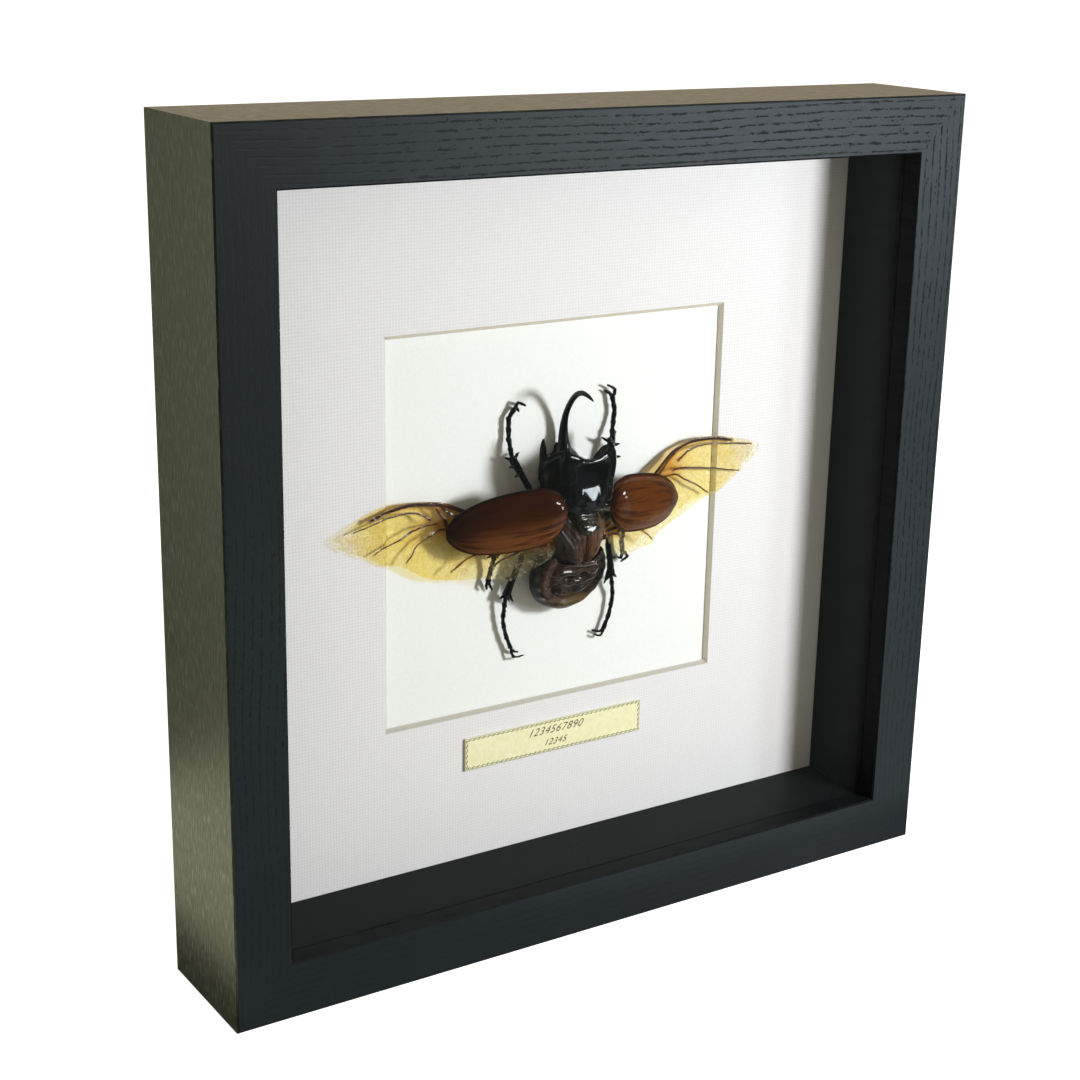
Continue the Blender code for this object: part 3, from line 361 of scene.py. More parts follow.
def wing_case():
    """Reddish-brown wing case with darker streaks, its front darkened by painted shade, its rear
    orange-brown, partly as painted sheen, and its rim near-black.
    """
    finish = Finish("wing_case", Coat_Roughness=0.04, Specular_IOR_Level=0.03)
    share = finish.attribute("share")
    breadth = finish.attribute("breadth")
    sway = finish.noise(90.0, 2.0)
    along = finish.vector(share * 1.6, breadth * 4.2 + sway * 0.7, 0.0)
    streak = finish.noise(1.0, 4.0, 0.65, along, 0.6)
    fine = finish.noise(1.0, 3.0, 0.6, finish.vector(share * 3.0, breadth * 17.0 + sway, 0.0))
    # Painted shade and sheen over the case's own reddish brown: the front of each case is painted darker
    # and the rear brighter orange, and the left case's front and the right case's rear are painted
    # darker than on the other case.
    right = finish.axes()[0].ramp(-1.0, 1.0)
    front_brown_and_shade = finish.mix(right, (0.036, 0.008, 0.001), (0.095, 0.026, 0.004))
    glow = finish.mix(right, (0.20, 0.068, 0.018), (0.135, 0.045, 0.010))
    brown_shade_and_sheen = finish.mix(breadth.ramp(-0.75, 0.35), glow, front_brown_and_shade)
    brown = finish.mix(streak.ramp(0.44, 0.62) * 0.85, brown_shade_and_sheen, (0.024, 0.005, 0.002))
    lined = finish.mix(fine.ramp(0.5, 0.8) * 0.5, brown, (0.05, 0.013, 0.005))
    near_edge = finish.attribute("edge")
    ends = finish.mix(share.ramp(0.62, 1.0) * 0.7, lined, (0.03, 0.007, 0.003))
    finish.paint(near_edge, ends, (0.008, 0.003, 0.002))
    finish.set("Roughness", 0.26 + 0.14 * fine)
    shoulder = 1 - share.ramp(0.08, 0.3)
    finish.set("Coat Weight", 0.04 + (0.1 + 0.75 * shoulder) * breadth.ramp(-1.0, -0.2))
    dimples = finish.noise(330.0, 3.0, 0.5)
    finish.relief(fine * 0.4 + dimples * 0.6, 0.02 * MM, 0.3)
    return finish.material


def back_brown():
    """The brown, finely ridged back that the open wing cases leave bare."""
    finish = Finish("back_brown", Coat_Weight=0.1, Coat_Roughness=0.2)
    x, y, z = finish.axes()
    fan = finish.noise(1.0, 3.0, 0.6, finish.vector(x * 2.4, y * 0.3, z * 0.22))
    cloud = finish.noise(130.0, 3.0)
    brown = finish.mix(fan.ramp(0.38, 0.66), (0.125, 0.047, 0.014), (0.022, 0.010, 0.005))
    # Painted shade darkens the left half of the back, with random darker blotches over it.
    left_shade_and_blotches = (1 - x.ramp(-6.0, 2.5)) * 0.75 + cloud.ramp(0.5, 0.8) * 0.3
    finish.paint(left_shade_and_blotches.least(1.0), brown, (0.018, 0.012, 0.010))
    finish.set("Roughness", 0.3 + 0.2 * cloud)
    finish.relief(fan * 0.8 + cloud * 0.2, 0.14 * MM, 0.5)
    return finish.material


def belly_shell():
    """Dark, glossy, folded rings with a dull black rim and a dull olive band at the end."""
    finish = Finish("belly_shell", Coat_Roughness=0.06, Specular_IOR_Level=0.2)
    x, y, z = finish.axes()
    forward = z - MIDDLE * IN_MM
    across_fold = finish.noise(1.0, 3.0, 0.5, finish.vector(x * 0.14, y * 0.3, forward * 0.42), 1.6)
    cloud = finish.noise(170.0, 3.0, 0.5)
    flesh = finish.mix(across_fold.ramp(0.4, 0.68), (0.012, 0.007, 0.005), (0.060, 0.031, 0.021))
    # Painted sheen: a pinkish patch inside the left of the rim, broken up by clouds.
    left_sheen = (1 - x.ramp(-9.5, -5.0)) * cloud.ramp(0.2, 0.6)
    pink_sheen = finish.mix(left_sheen * 0.7, flesh, (0.075, 0.042, 0.032))
    end = 1 - forward.ramp(-26.5, -23.5)
    tinted = finish.mix(end * cloud.ramp(0.3, 0.6) * 0.6, pink_sheen, (0.16, 0.105, 0.038))
    # Painted shade darkens the abdomen's right flank, except near its end.
    right_flank_shade = x.ramp(7.0, 9.5) * forward.ramp(-25.0, -20.0) * 0.85
    tinted = finish.mix(right_flank_shade, tinted, (0.009, 0.007, 0.006))
    rim = finish.attribute("edge")
    finish.paint(rim, tinted, (0.010, 0.007, 0.006))
    finish.set("Roughness", 0.14 + 0.2 * cloud + 0.2 * rim.most(end))
    finish.set("Coat Weight", 0.75 - 0.7 * rim.most(end).most(right_flank_shade))
    finish.relief(across_fold, 0.04 * MM, 0.2)
    return finish.material


def scutellum_shell():
    """Wrinkled, glossy olive-black shell of the small plate between the wing cases."""
    finish = Finish("scutellum_shell", Coat_Roughness=0.03)
    wrinkle = finish.noise(520.0, 4.0, 0.65, distortion=0.8)
    finish.paint(wrinkle.ramp(0.4, 0.7), (0.010, 0.010, 0.008), (0.052, 0.046, 0.024))
    finish.set("Roughness", 0.1 + 0.16 * wrinkle)
    finish.set("Coat Weight", 0.85 - 0.75 * finish.attribute("flank"))
    finish.relief(wrinkle, 0.01 * MM, 0.3)
    return finish.material


def wing_membrane():
    """Amber membrane that light passes through, with dark veins and a brown stain at its root."""
    finish = Finish("wing_membrane", Coat_Weight=0.4, Coat_Roughness=0.1)
    vein = finish.attribute("vein")
    stain = finish.attribute("stain")
    pale = finish.attribute("pale")
    cloud = finish.noise(110.0, 3.0, 0.5)
    crease = finish.noise(210.0, 3.0, 0.6, distortion=2.6)
    fold = 1 - (crease - 0.5).absolute().ramp(0.0, 0.05)
    sheen = 1 - (crease - 0.58).absolute().ramp(0.0, 0.04)
    gold = finish.mix(cloud.ramp(0.3, 0.75), (1.0, 0.86, 0.42), (1.0, 0.95, 0.62))
    cream = finish.mix(pale, gold, (1.0, 0.96, 0.76))
    folded = finish.mix(fold * 0.3, cream, (0.80, 0.52, 0.12))
    burnt = finish.mix((stain * (0.5 + cloud)).least(1.0), folded, (0.42, 0.15, 0.02))
    finish.paint(vein, burnt, (0.040, 0.012, 0.006))
    finish.set("Roughness", 0.2 + 0.2 * cloud)
    finish.relief(crease * 0.6 + fold * 0.4, 0.3 * MM, 0.6)
    aged = finish.mix(cloud.ramp(0.3, 0.75), (1.0, 0.94, 0.68), (1.0, 0.975, 0.79))
    bleached = finish.mix(pale.least(1.0), aged, (1.0, 0.99, 0.95))
    wrinkled = finish.mix(fold * 0.75, bleached, (0.95, 0.83, 0.50))
    tinted = finish.mix(stain, wrinkled, (0.93, 0.72, 0.36))
    passed = finish.mix(vein, tinted, (0.2, 0.07, 0.03))
    clear = node(finish.tree, "ShaderNodeBsdfTransparent", inputs={"Color": passed})
    body = Value(finish.tree, finish.shader.outputs[0])
    solid = (0.015 + 0.02 * fold + 0.12 * sheen + vein * 0.95 + stain * 0.1).least(0.98)
    shown = node(finish.tree, "ShaderNodeMixShader", inputs={0: solid, 1: clear, 2: body})
    output = finish.tree.nodes["Material Output"]
    finish.tree.links.new(shown.socket, output.inputs["Surface"])
    return finish.material


def plain_ink():
    """Brown ink of the label's figures."""
    return Finish("plain_ink", Base_Color=(0.10, 0.075, 0.04, 1), Roughness=0.7).material


# Modelling


def only(item):
    """Selects one piece alone."""
    bpy.ops.object.select_all(action="DESELECT")
    item.select_set(True)
    bpy.context.view_layer.objects.active = item


def apply(item, kind, **settings):
    """Adds a modifier and applies it."""
    made = item.modifiers.new(kind.title(), kind)
    for name, value in settings.items():
        setattr(made, name, value)
    only(item)
    bpy.ops.object.modifier_apply(modifier=made.name)


def copy_of(cad_node, name):
    """A separate object with a CAD node's shape, its loose triangles merged."""
    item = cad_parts[cad_node].copy()
    item.data = item.data.copy()
    item.name = name
    for key in list(item.keys()):
        del item[key]
    item.parent = None
    item.hide_render = False
    item.hide_viewport = False
    item.data.materials.clear()
    bpy.context.scene.collection.objects.link(item)
    only(item)
    bpy.ops.object.mode_set(mode="EDIT")
    bpy.ops.mesh.select_all(action="SELECT")
    bpy.ops.mesh.remove_doubles(threshold=1e-6)
    bpy.ops.mesh.tris_convert_to_quads(face_threshold=0.5, shape_threshold=0.8)
    bpy.ops.object.mode_set(mode="OBJECT")
    return item


def flesh_out(item, grown, voxel, smoothing):
    """Swells a shape a little, covers it with even small faces and rounds off its facets."""
    apply(item, "DISPLACE", strength=grown, mid_level=0.0)
    apply(item, "REMESH", mode="VOXEL", voxel_size=voxel)
    apply(item, "SMOOTH", factor=0.5, iterations=smoothing)
    return item


def places(item):
    """The across, forward and height of each point, and the outward directions in the same order."""
    mesh = item.data
    flat = np.empty(len(mesh.vertices) * 3, np.float32)
    mesh.vertices.foreach_get("co", flat)
    outward = np.empty(len(mesh.vertices) * 3, np.float32)
    mesh.vertex_normals.foreach_get("vector", outward)
    x, y, z = flat.reshape(-1, 3).T.astype(float)
    a, b, c = outward.reshape(-1, 3).T.astype(float)
    return np.stack([x, z - MIDDLE, BOARD - y]), np.stack([a, c, -b])


def move_to(item, points):
    """Gives each point of a piece its new across, forward and height."""
    across, forward, height = points
    moved = np.stack([across, BOARD - height, forward + MIDDLE], 1).astype(np.float32)
    item.data.vertices.foreach_set("co", moved.ravel())
    item.data.update()


def press(item, depth):
    """Moves each point outwards by a function of its place and outward direction, all in millimetres."""
    points, outward = places(item)
    move_to(item, points + outward * depth(points / MM, outward) * MM)
    return item


def build_up(item, balls):
    """Joins solid balls, of three radii each, onto a shape before it is fleshed out."""
    added = []
    for (across, forward, height), (wide, long, tall) in balls:
        place = (across * MM, BOARD - height * MM, forward * MM + MIDDLE)
        bpy.ops.mesh.primitive_uv_sphere_add(segments=28, ring_count=14, radius=MM, location=place)
        ball = bpy.context.object
        ball.scale = (wide, tall, long)
        bpy.ops.object.transform_apply(location=True, rotation=True, scale=True)
        added.append(ball)
    merge(item, added)


def new_piece(name, points, faces):
    """A piece from points in the frame's axes, and faces as the numbers of their points."""
    mesh = bpy.data.meshes.new(name)
    mesh.from_pydata(points, [], faces)
    item = bpy.data.objects.new(name, mesh)
    bpy.context.scene.collection.objects.link(item)
    return item


def merge(item, others):
    """Joins other pieces into the first."""
    only(item)
    for other in others:
        other.select_set(True)
    bpy.ops.object.join()


def along_path(stops, step):
    """Balls in a row along a path, as (across, forward, height, radius) stops in millimetres."""
    balls = []
    for start, end in zip(stops, stops[1:]):
        count = max(1, round(math.dist(start[:3], end[:3]) / step))
        for index in range(count + 1):
            t = index / count
            across, forward, height, radius = [a + (b - a) * t for a, b in zip(start, end)]
            balls.append(((across, forward, height), (radius, radius, radius)))
    return balls


def hump(distance, width):
    """1 in the middle, falling to 0 at about twice the width."""
    return np.exp(-((distance / width) ** 2))


def wrinkle(points, size, seed):
    """Soft waves of a size in millimetres, from -1 to 1, that don't repeat."""
    waves = np.random.RandomState(seed)
    total = np.zeros(points.shape[1])
    for octave in range(3):
        for _ in range(5):
            direction = waves.normal(size=3)
            direction *= 2 * math.pi * 2**octave / size / np.linalg.norm(direction)
            total += np.sin(direction @ points + waves.uniform(0, 2 * math.pi)) / 2**octave
    return total / 4


def note(item, name, values):
    """Keeps a number for each point, which the finish reads."""
    made = item.data.attributes.new(name, "FLOAT", "POINT")
    made.data.foreach_set("value", np.asarray(values, np.float32))


def show(item, material, cad_node, dull=0.0):
    """Dresses a finished piece, marks its flanks as duller and hides the CAD node it stands for."""
    _, outward = places(item)
    note(item, "flank", np.maximum(np.clip((0.5 - outward[2]) / 0.35, 0, 1), dull))
    item.data.materials.clear()
    item.data.materials.append(material)
    only(item)
    bpy.ops.object.shade_smooth_by_angle(angle=math.radians(50))
    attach(item, "root")
    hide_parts(cad_node)


# Beetle


def slim(horn):
    """Thins the lower half of a front horn."""
    return press(horn, lambda points, _: -0.9 * np.clip((25 - points[1]) / 5, 0, 1))


# The saddle, keel and web at the root of an upper horn, as (across, forward, height, radius) stops
SHIELD_RIDGES = [
    [(7.3, 21.9, 16.8, 2.0), (5.0, 21.2, 17.8, 1.6), (2.8, 20.4, 18.4, 1.2), (0.0, 20.0, 18.5, 1.0)],
    [(6.9, 20.5, 17.0, 1.9), (5.6, 17.6, 17.9, 1.5), (5.0, 14.4, 18.1, 1.1)],
    [(7.5, 22.0, 15.4, 2.0), (8.5, 20.6, 13.4, 2.4), (10.2, 18.8, 11.4, 2.4)],
]
# The shield's crest line, as forward and height, and how far right of the middle it runs
CREST_FORWARD = [4.4, 5.1, 6.0, 7.0, 8.3, 12.4, 20.6]
CREST_HEIGHT = [17.6, 18.4, 18.5, 18.9, 19.44, 18.60, 19.2]
CREST_ACROSS = 0.5
# The shield's rear edge, its level facet and the scoop behind its horns, in millimetres
SHIELD_REAR = 5.1
SHIELD_FACET = 8.4
SCOOP_START = 12.4
SCOOP_LENGTH = 8.0
SCOOP_HALF_WIDTH = 5.0
SCOOP_DEPTH = 2.3


def make_pronotum(material):
    """The shield: horns rooted with a saddle between them, a scoop behind it and a raised rear rim."""
    item = copy_of("pronotum", "pronotum_shell")
    uppers = [copy_of(f"horn_upper_{side}", "root") for side in ("left", "right")]
    fronts = [slim(copy_of(f"horn_front_{side}", "root")) for side in ("left", "right")]
    merge(item, uppers + fronts)
    for side in (-1, 1):
        for path in SHIELD_RIDGES:
            build_up(item, along_path([(side * across, *rest) for across, *rest in path], 0.5))
        roots = [((8.1, 17.6, 13.2), (3.3, 4.4, 3.6)), ((9.5, 14.0, 11.0), (2.8, 5.0, 3.6))]
        build_up(item, [((side * across, *rest), radii) for (across, *rest), radii in roots])
    flesh_out(item, 0.2 * MM, 0.22 * MM, 44)

    def depth(points, outward):
        across, forward, height = points
        reach = np.abs(across)
        beside = across - CREST_ACROSS
        crest = np.interp(forward, CREST_FORWARD, CREST_HEIGHT)
        sunk = np.sin(math.pi * np.clip((forward - SCOOP_START) / SCOOP_LENGTH, 0, 1)) ** 1.5
        crest = crest - SCOOP_DEPTH * sunk * np.clip(1.15 - (reach / SCOOP_HALF_WIDTH) ** 2, 0, 1)
        facet = 0.02 / (0.4 + 2.9 * np.clip((forward - SHIELD_FACET) / 4, 0, 1))
        bend = np.where(forward > SHIELD_FACET, facet, 0.04)
        tilt = 0.064 * np.interp(forward, [5, 8, SCOOP_START, 14], [0, 1, 1, 0])
        target = crest - bend * beside**2 - tilt * beside
        shaped = np.clip((6.4 - reach) / 3.0, 0, 1) * np.clip((outward[2] - 0.15) / 0.3, 0, 1)
        shaped = shaped * (height > 15) * np.clip((CREST_FORWARD[-1] - forward) / 1.2, 0, 1)
        rear = forward - SHIELD_REAR - 0.012 * reach**2
        rim = 0.3 * hump(rear, 0.6) - 0.4 * hump(rear - 1.5, 0.6)
        dent = -0.5 * hump(reach - 6.6, 1.2) * hump(forward - 9.4, 1.6)
        upper = np.clip((height - 14) / 2, 0, 1) * np.clip(outward[2] * 2, 0, 1)
        uneven = rim + dent + 0.03 * wrinkle(points, 4.5, 3)
        return shaped * (target - height) + upper * (1 - shaped) * uneven

    press(item, depth)
    apply(item, "SMOOTH", factor=0.5, iterations=6)
    across, forward, _ = places(item)[0] / MM
    reach = np.abs(across)
    scoop = np.clip((forward - 12.7) / 0.5, 0, 1) * np.clip((20.0 - forward) / 0.5, 0, 1)
    scoop = scoop * np.clip((5.8 - reach) / 0.6, 0, 1)
    beside = 0.55 * np.clip((reach - SCOOP_HALF_WIDTH) / 1.5, 0, 1)
    show(item, material, "pronotum", dull=np.maximum(scoop, beside))


def make_thorax(material):
    """The bare back: a fan of fine ridges that runs in to a point at the abdomen, and side pads."""
    item = flesh_out(copy_of("thorax", "thorax_back"), 0.1 * MM, 0.22 * MM, 6)

    def depth(points, outward):
        across, forward, height = points
        upper = np.clip((height - 10) / 3, 0, 1)
        to_tip = np.clip((forward + 14) / 13, 0.08, 1)
        fan = np.sin(across / to_tip / 0.36 + 1.5 * wrinkle(points, 6, 4))
        ridges = 0.08 * fan * hump(across, 7.5)
        v_edge = np.abs(across) - 8.2 * to_tip
        shoulder = 0.55 * hump(v_edge, 0.9) - 0.8 * np.clip(v_edge / 3, 0, 1)
        groove = -0.9 * hump(across - 0.3, 0.5) * (forward < -1)
        return upper * (ridges + shoulder + groove) + 0.14 * wrinkle(points, 2.6, 11)

    press(item, depth)
    show(item, material, "thorax")


# The middle, half width and half length of the abdomen's outline, and the pitch of its rings
BELLY_FORWARD = -17.2
BELLY_HALF_WIDTH = 12.4
BELLY_HALF_LENGTH = 11.8
RING_PITCH = 3.1
# Hollows in the abdomen, as (across, forward, width, depth) in millimetres
BELLY_PITS = [
    (-2.6, -18.4, 1.6, 1.0), (2.4, -17.6, 1.8, 1.2), (-6.4, -20.4, 1.7, 0.9), (5.6, -21.0, 1.6, 0.7),
    (0.0, -22.6, 1.8, 0.6),
]


def rim_share(across, forward):
    """0 in the middle of the abdomen's back and 1 along its outline."""
    return np.hypot(across / BELLY_HALF_WIDTH, (forward - BELLY_FORWARD) / BELLY_HALF_LENGTH)


def make_abdomen(material):
    """A dry, sunken belly: a thick rolled rim, and overlapping rings that cave in inside it."""
    item = flesh_out(copy_of("abdomen", "abdomen_rings"), 0.1 * MM, 0.22 * MM, 6)

    def depth(points, outward):
        across, forward, height = points
        upper = np.clip((outward[2] + 0.1) / 0.5, 0, 1)
        out = rim_share(across, forward)
        rim = 0.35 * hump(out - 0.9, 0.08) - 1.0 * hump(out - 0.72, 0.09)
        bent = -forward + 0.05 * across**2 / 4 + 0.6 * wrinkle(points, 18, 6)
        turn = 2 * math.pi * bent / RING_PITCH
        steps = 0.16 * np.sin(turn) + 0.07 * np.sin(2 * turn)
        folds = 0.7 * wrinkle(np.stack([across * 0.5, forward * 1.1, height]), 16, 21)
        pits = 0
        for pit_across, pit_forward, wide, deep in BELLY_PITS:
            pits = pits - deep * hump(np.hypot(across - pit_across, (forward - pit_forward) * 1.2), wide)
        inner = np.clip((0.8 - out) / 0.15, 0, 1)
        return upper * (rim + inner * (steps + folds + pits))

    press(item, depth)
    apply(item, "SMOOTH", factor=0.5, iterations=16)
    across, forward, _ = places(item)[0] / MM
    note(item, "edge", np.clip((rim_share(across, forward) - 0.95) / 0.06, 0, 1))
    show(item, material, "abdomen")


# The middle of the scutellum's level facet, in millimetres
FACET_ACROSS = 1.0
FACET_FORWARD = -0.4


def make_scutellum(material):
    """The small plate behind the shield, with one level facet that catches the light."""
    item = flesh_out(copy_of("scutellum", "scutellum_plate"), 0.1 * MM, 0.14 * MM, 6)

    def depth(points, outward):
        across, forward, height = points
        right, ahead = across - FACET_ACROSS, forward - FACET_FORWARD
        away = np.hypot(right / 2.5, ahead / 0.7)
        level = np.median(height[(away < 0.5) & (outward[2] > 0.3)])
        facet = level - 0.206 * ahead - (0.064 + 0.003 * right) * right
        step = -1.6 * np.clip((-1.0 - forward) / 0.7, 0, 1) - 0.3 * hump(forward - 3.4, 0.3)
        step = step - 0.3 * hump(forward - 0.8, 0.5)
        lit = np.clip((1.25 - away) / 0.3, 0, 1)
        rest = (0.015 * wrinkle(points, 2.2, 5) + step) * np.clip(outward[2], 0, 1)
        return np.where(outward[2] > 0.2, lit * (facet - height) + (1 - lit) * rest, rest)

    press(item, depth)
    _, forward, _ = places(item)[0] / MM
    dull = 0.9 * np.clip((forward - 0.3) / 0.5, 0, 1)
    show(item, material, "scutellum", dull=dull)


def make_small_body_parts(material, horn):
    """Head, horns, eyes, feelers and mouth, each rounded off and sunk into what it grows from."""
    sides = ("_left", "_right")
    for stem, endings, finish, grown, voxel, smoothing in (
        ("head", ("",), material, 0.2, 0.16, 6),
        ("horn_head", ("",), horn, 0.11, 0.14, 5),
        ("horn_front", sides, material, 0.24, 0.16, 6),
        ("horn_upper", sides, material, 0.24, 0.16, 6),
        ("mouthparts", ("",), horn, 0.08, 0.11, 2),
        ("antenna", sides, horn, 0.06, 0.11, 2),
        ("eye", sides, material, 0.14, 0.11, 5),
    ):
        for ending in endings:
            item = copy_of(stem + ending, stem + ending + "_shell")
            if stem == "horn_front":
                slim(item)
            flesh_out(item, grown * MM, voxel * MM, smoothing)
            show(item, finish, stem + ending)


def bristle(points, faces, root, tip, radius):
    """Adds one thin three-sided bristle to a list of points and faces."""
    along = (tip - root).normalized()
    side = along.orthogonal().normalized()
    other = along.cross(side)
    start = len(points)
    for corner in range(3):
        turn = 2 * math.pi * corner / 3
        points.append(root + radius * (math.cos(turn) * side + math.sin(turn) * other))
    points.append(tip)
    faces += [(start, start + 1, start + 3), (start + 1, start + 2, start + 3)]
    faces += [(start + 2, start, start + 3), (start + 2, start + 1, start)]


def add_bristles(item, count, length, towards):
    """Sets fine stiff hairs on a leg, leaning towards its foot."""
    points, outward = places(item)
    chosen = rng.sample(range(points.shape[1]), count)
    hairs, faces = [], []
    for index in chosen:
        across, forward, height = points[:, index]
        root = Vector((across, BOARD - height, forward + MIDDLE))
        out = Vector((outward[0, index], -outward[2, index], outward[1, index]))
        lean = (out * 0.9 + towards).normalized()
        tip = root + lean * length * rng.uniform(0.5, 1.1)
        bristle(hairs, faces, root - out * 0.1 * MM, tip, 0.05 * MM)
    merge(item, [new_piece(item.name + "_hairs", hairs, faces)])


def make_legs(material):
    """Six legs and six feet, rounded off, roughened and set with bristles."""
    for pair, lean in (("front", 1), ("mid", -1), ("hind", -1)):
        for side in ("left", "right"):
            toe = 0.24 if pair == "hind" else 0.33
            for stem, grown, voxel, smoothing, bumps, size, seed, count, length in (
                ("leg", 0.14, 0.13, 3, 0.09, 1.5, 17, 46, 0.8),
                ("tarsus", toe, 0.1, 2, 0.1, 1.3, 19, 40, 0.7),
            ):
                name = f"{stem}_{pair}_{side}"
                item = flesh_out(copy_of(name, name + "_shell"), grown * MM, voxel * MM, smoothing)
                press(item, lambda points, _: bumps * wrinkle(points, size, seed))
                add_bristles(item, count, length * MM, Vector((0, 0.1, lean)))
                show(item, material, name)


# A wing case: the reach of its root, its length and half width, and how far along it is widest
WING_CASE_ROOT = 8
WING_CASE_LENGTH = 34
WING_CASE_HALF_WIDTH = 9.3
WING_CASE_WIDEST = 0.35


def make_wing_case(side, material):
    """A domed case with faint ribs along it, a raised rim and a step beside its seam edge."""
    item = copy_of("elytron_" + side, "wing_case_" + side)
    apply(item, "SUBSURF", levels=3, render_levels=3)
    points, outward = places(item)
    across, forward, _ = points / MM
    from_root = np.abs(across) - WING_CASE_ROOT
    share = np.clip(from_root / WING_CASE_LENGTH, 0, 1)
    widening = np.clip(share / WING_CASE_WIDEST, 0, 1)
    narrowing = np.clip((share - WING_CASE_WIDEST) / (1 - WING_CASE_WIDEST), 0, 1)
    half_front = (1 - (1 - widening) ** 3) ** 0.45
    half_back = (1 - narrowing**2.6) ** 0.5
    half = WING_CASE_HALF_WIDTH * np.where(share < WING_CASE_WIDEST, half_front, half_back)
    from_middle = forward - (6.1 - 5.6 * share**0.8)
    breadth = from_middle / np.maximum(half, 1)
    upper = np.clip(outward[2] * 2, 0, 1)
    near_edge = np.clip(half - np.abs(from_middle), 0, None)
    near_edge = np.minimum(near_edge, WING_CASE_LENGTH - from_root)
    ribs = 0.05 * np.sin(breadth * 13.0) * (1 - share) + 0.05 * wrinkle(points / MM, 6, 31)
    rim = 0.16 * hump(near_edge - 0.25, 0.3) - 0.14 * hump(near_edge - 0.95, 0.35)
    move_to(item, points + outward * upper * (ribs + rim) * MM)
    note(item, "share", share)
    note(item, "breadth", breadth)
    note(item, "edge", 1 - np.clip((near_edge - 0.35) / 0.5, 0, 1))
    show(item, material, "elytron_" + side)


# The hind wings' edges and veins, as (across, forward) in millimetres. A vein starts with its width.
LEFT_WING_EDGE = [
    (-7.0, 0.0), (-20.0, 3.0), (-33.8, 6.6), (-42.0, 9.8), (-52.0, 11.2), (-60.6, 10.8), (-67.1, 8.6),
    (-73.5, 6.0), (-78.0, 3.4), (-75.0, 0.0), (-66.1, -3.9), (-61.8, -6.4), (-55.2, -8.0),
    (-48.5, -12.2), (-40.3, -14.4), (-30.6, -14.7), (-24.7, -15.7), (-20.8, -16.0), (-16.1, -13.4),
    (-9.2, -9.0),
]
LEFT_WING_VEINS = [
    (1.6, [(-9.0, 0.0), (-20.0, 2.8), (-33.8, 6.2), (-41.8, 9.0), (-51.9, 10.4), (-59.0, 9.6),
           (-66.0, 7.6)]),
    (1.3, [(-9.0, -1.2), (-25.0, 1.4), (-37.8, 5.2), (-42.5, 8.6)]),
    (0.8, [(-40.6, 2.6), (-42.0, 5.4), (-44.4, 8.4)]),
    (0.42, [(-46.3, 5.2), (-49.7, 7.3), (-55.2, 8.2), (-61.7, 7.3), (-71.4, 4.7)]),
    (0.42, [(-44.1, 3.6), (-49.7, 3.2), (-56.3, 0.6), (-65.0, -2.8)]),
    (0.58, [(-10.0, -2.8), (-25.0, -1.0), (-40.4, 1.3), (-46.3, 0.1), (-50.8, -2.8), (-54.0, -6.7)]),
    (0.58, [(-10.5, -4.2), (-23.0, -4.5), (-32.9, -7.3), (-36.3, -9.9), (-39.0, -11.6)]),
    (0.58, [(-11.0, -5.6), (-18.0, -6.6), (-23.6, -9.0), (-26.2, -11.3)]),
]
RIGHT_WING_EDGE = [
    (7.0, 0.0), (20.0, 3.6), (30.0, 8.0), (38.5, 13.7), (42.0, 15.7), (48.8, 17.9), (57.9, 17.8),
    (65.2, 16.4), (73.1, 14.5), (75.9, 12.1), (71.0, 6.7), (67.5, 4.2), (60.0, -0.8), (54.9, -2.0),
    (49.0, -4.8), (42.1, -8.2), (35.2, -10.8), (33.0, -13.4), (25.9, -13.7), (18.2, -14.2), (12.5, -9.0),
]
RIGHT_WING_VEINS = [
    (1.6, [(9.0, 0.0), (20.0, 3.2), (30.0, 7.5), (38.5, 13.0), (41.6, 15.0), (48.8, 17.2), (57.9, 17.1),
           (64.2, 15.8)]),
    (1.3, [(9.0, -1.2), (23.0, 2.5), (34.0, 8.0), (42.0, 14.2)]),
    (0.58, [(44.1, 11.9), (46.5, 14.0), (50.0, 15.0), (57.5, 15.4), (72.5, 13.6)]),
    (0.42, [(41.2, 9.1), (45.3, 9.0), (55.4, 7.7), (62.7, 6.3), (68.0, 5.2)]),
    (0.58, [(10.0, -2.8), (25.0, 1.2), (40.0, 7.4), (47.0, 4.8), (52.2, 2.0), (56.0, -0.6)]),
    (0.58, [(10.5, -4.2), (22.0, -5.0), (29.3, -9.1), (32.8, -12.0)]),
    (0.58, [(11.0, -5.6), (16.2, -6.6), (18.7, -10.0), (18.7, -13.0)]),
]
# The reach of a hind wing's root and of its flat part, its heights there, its mesh and its thickness
WING_ROOT = 9
WING_FLAT = 42
WING_LOW = 2.9
WING_RISE = 9.6
WING_CELL = 0.55
MEMBRANE = 0.09


def smooth_line(points, steps):
    """Points along a smooth curve through the given ones."""
    knots = [Vector(point) for point in points]
    ends = [2 * knots[0] - knots[1], *knots, 2 * knots[-1] - knots[-2]]
    line = []
    for before, start, end, after in zip(ends, ends[1:], ends[2:], ends[3:]):
        for step in range(steps):
            t = step / steps
            bend = 2 * before - 5 * start + 4 * end - after
            swing = 3 * start - before - 3 * end + after
            line.append(0.5 * (2 * start + t * (end - before) + t * t * bend + t**3 * swing))
    return [*line, knots[-1]]


def distance_to(line, points):
    """How far each flat point is from a line, and how far along the line its nearest place is."""
    nearest = np.full(len(points), 1e9)
    along = np.zeros(len(points))
    for index, (start, end) in enumerate(zip(line, line[1:])):
        start, step = np.array(start[:2]), np.array(end[:2]) - np.array(start[:2])
        share = np.clip(((points - start) @ step) / max(step @ step, 1e-12), 0, 1)
        distance = np.linalg.norm(points - start - share[:, None] * step, axis=1)
        closer = distance < nearest
        nearest = np.where(closer, distance, nearest)
        along = np.where(closer, (index + share) / (len(line) - 1), along)
    return nearest, along


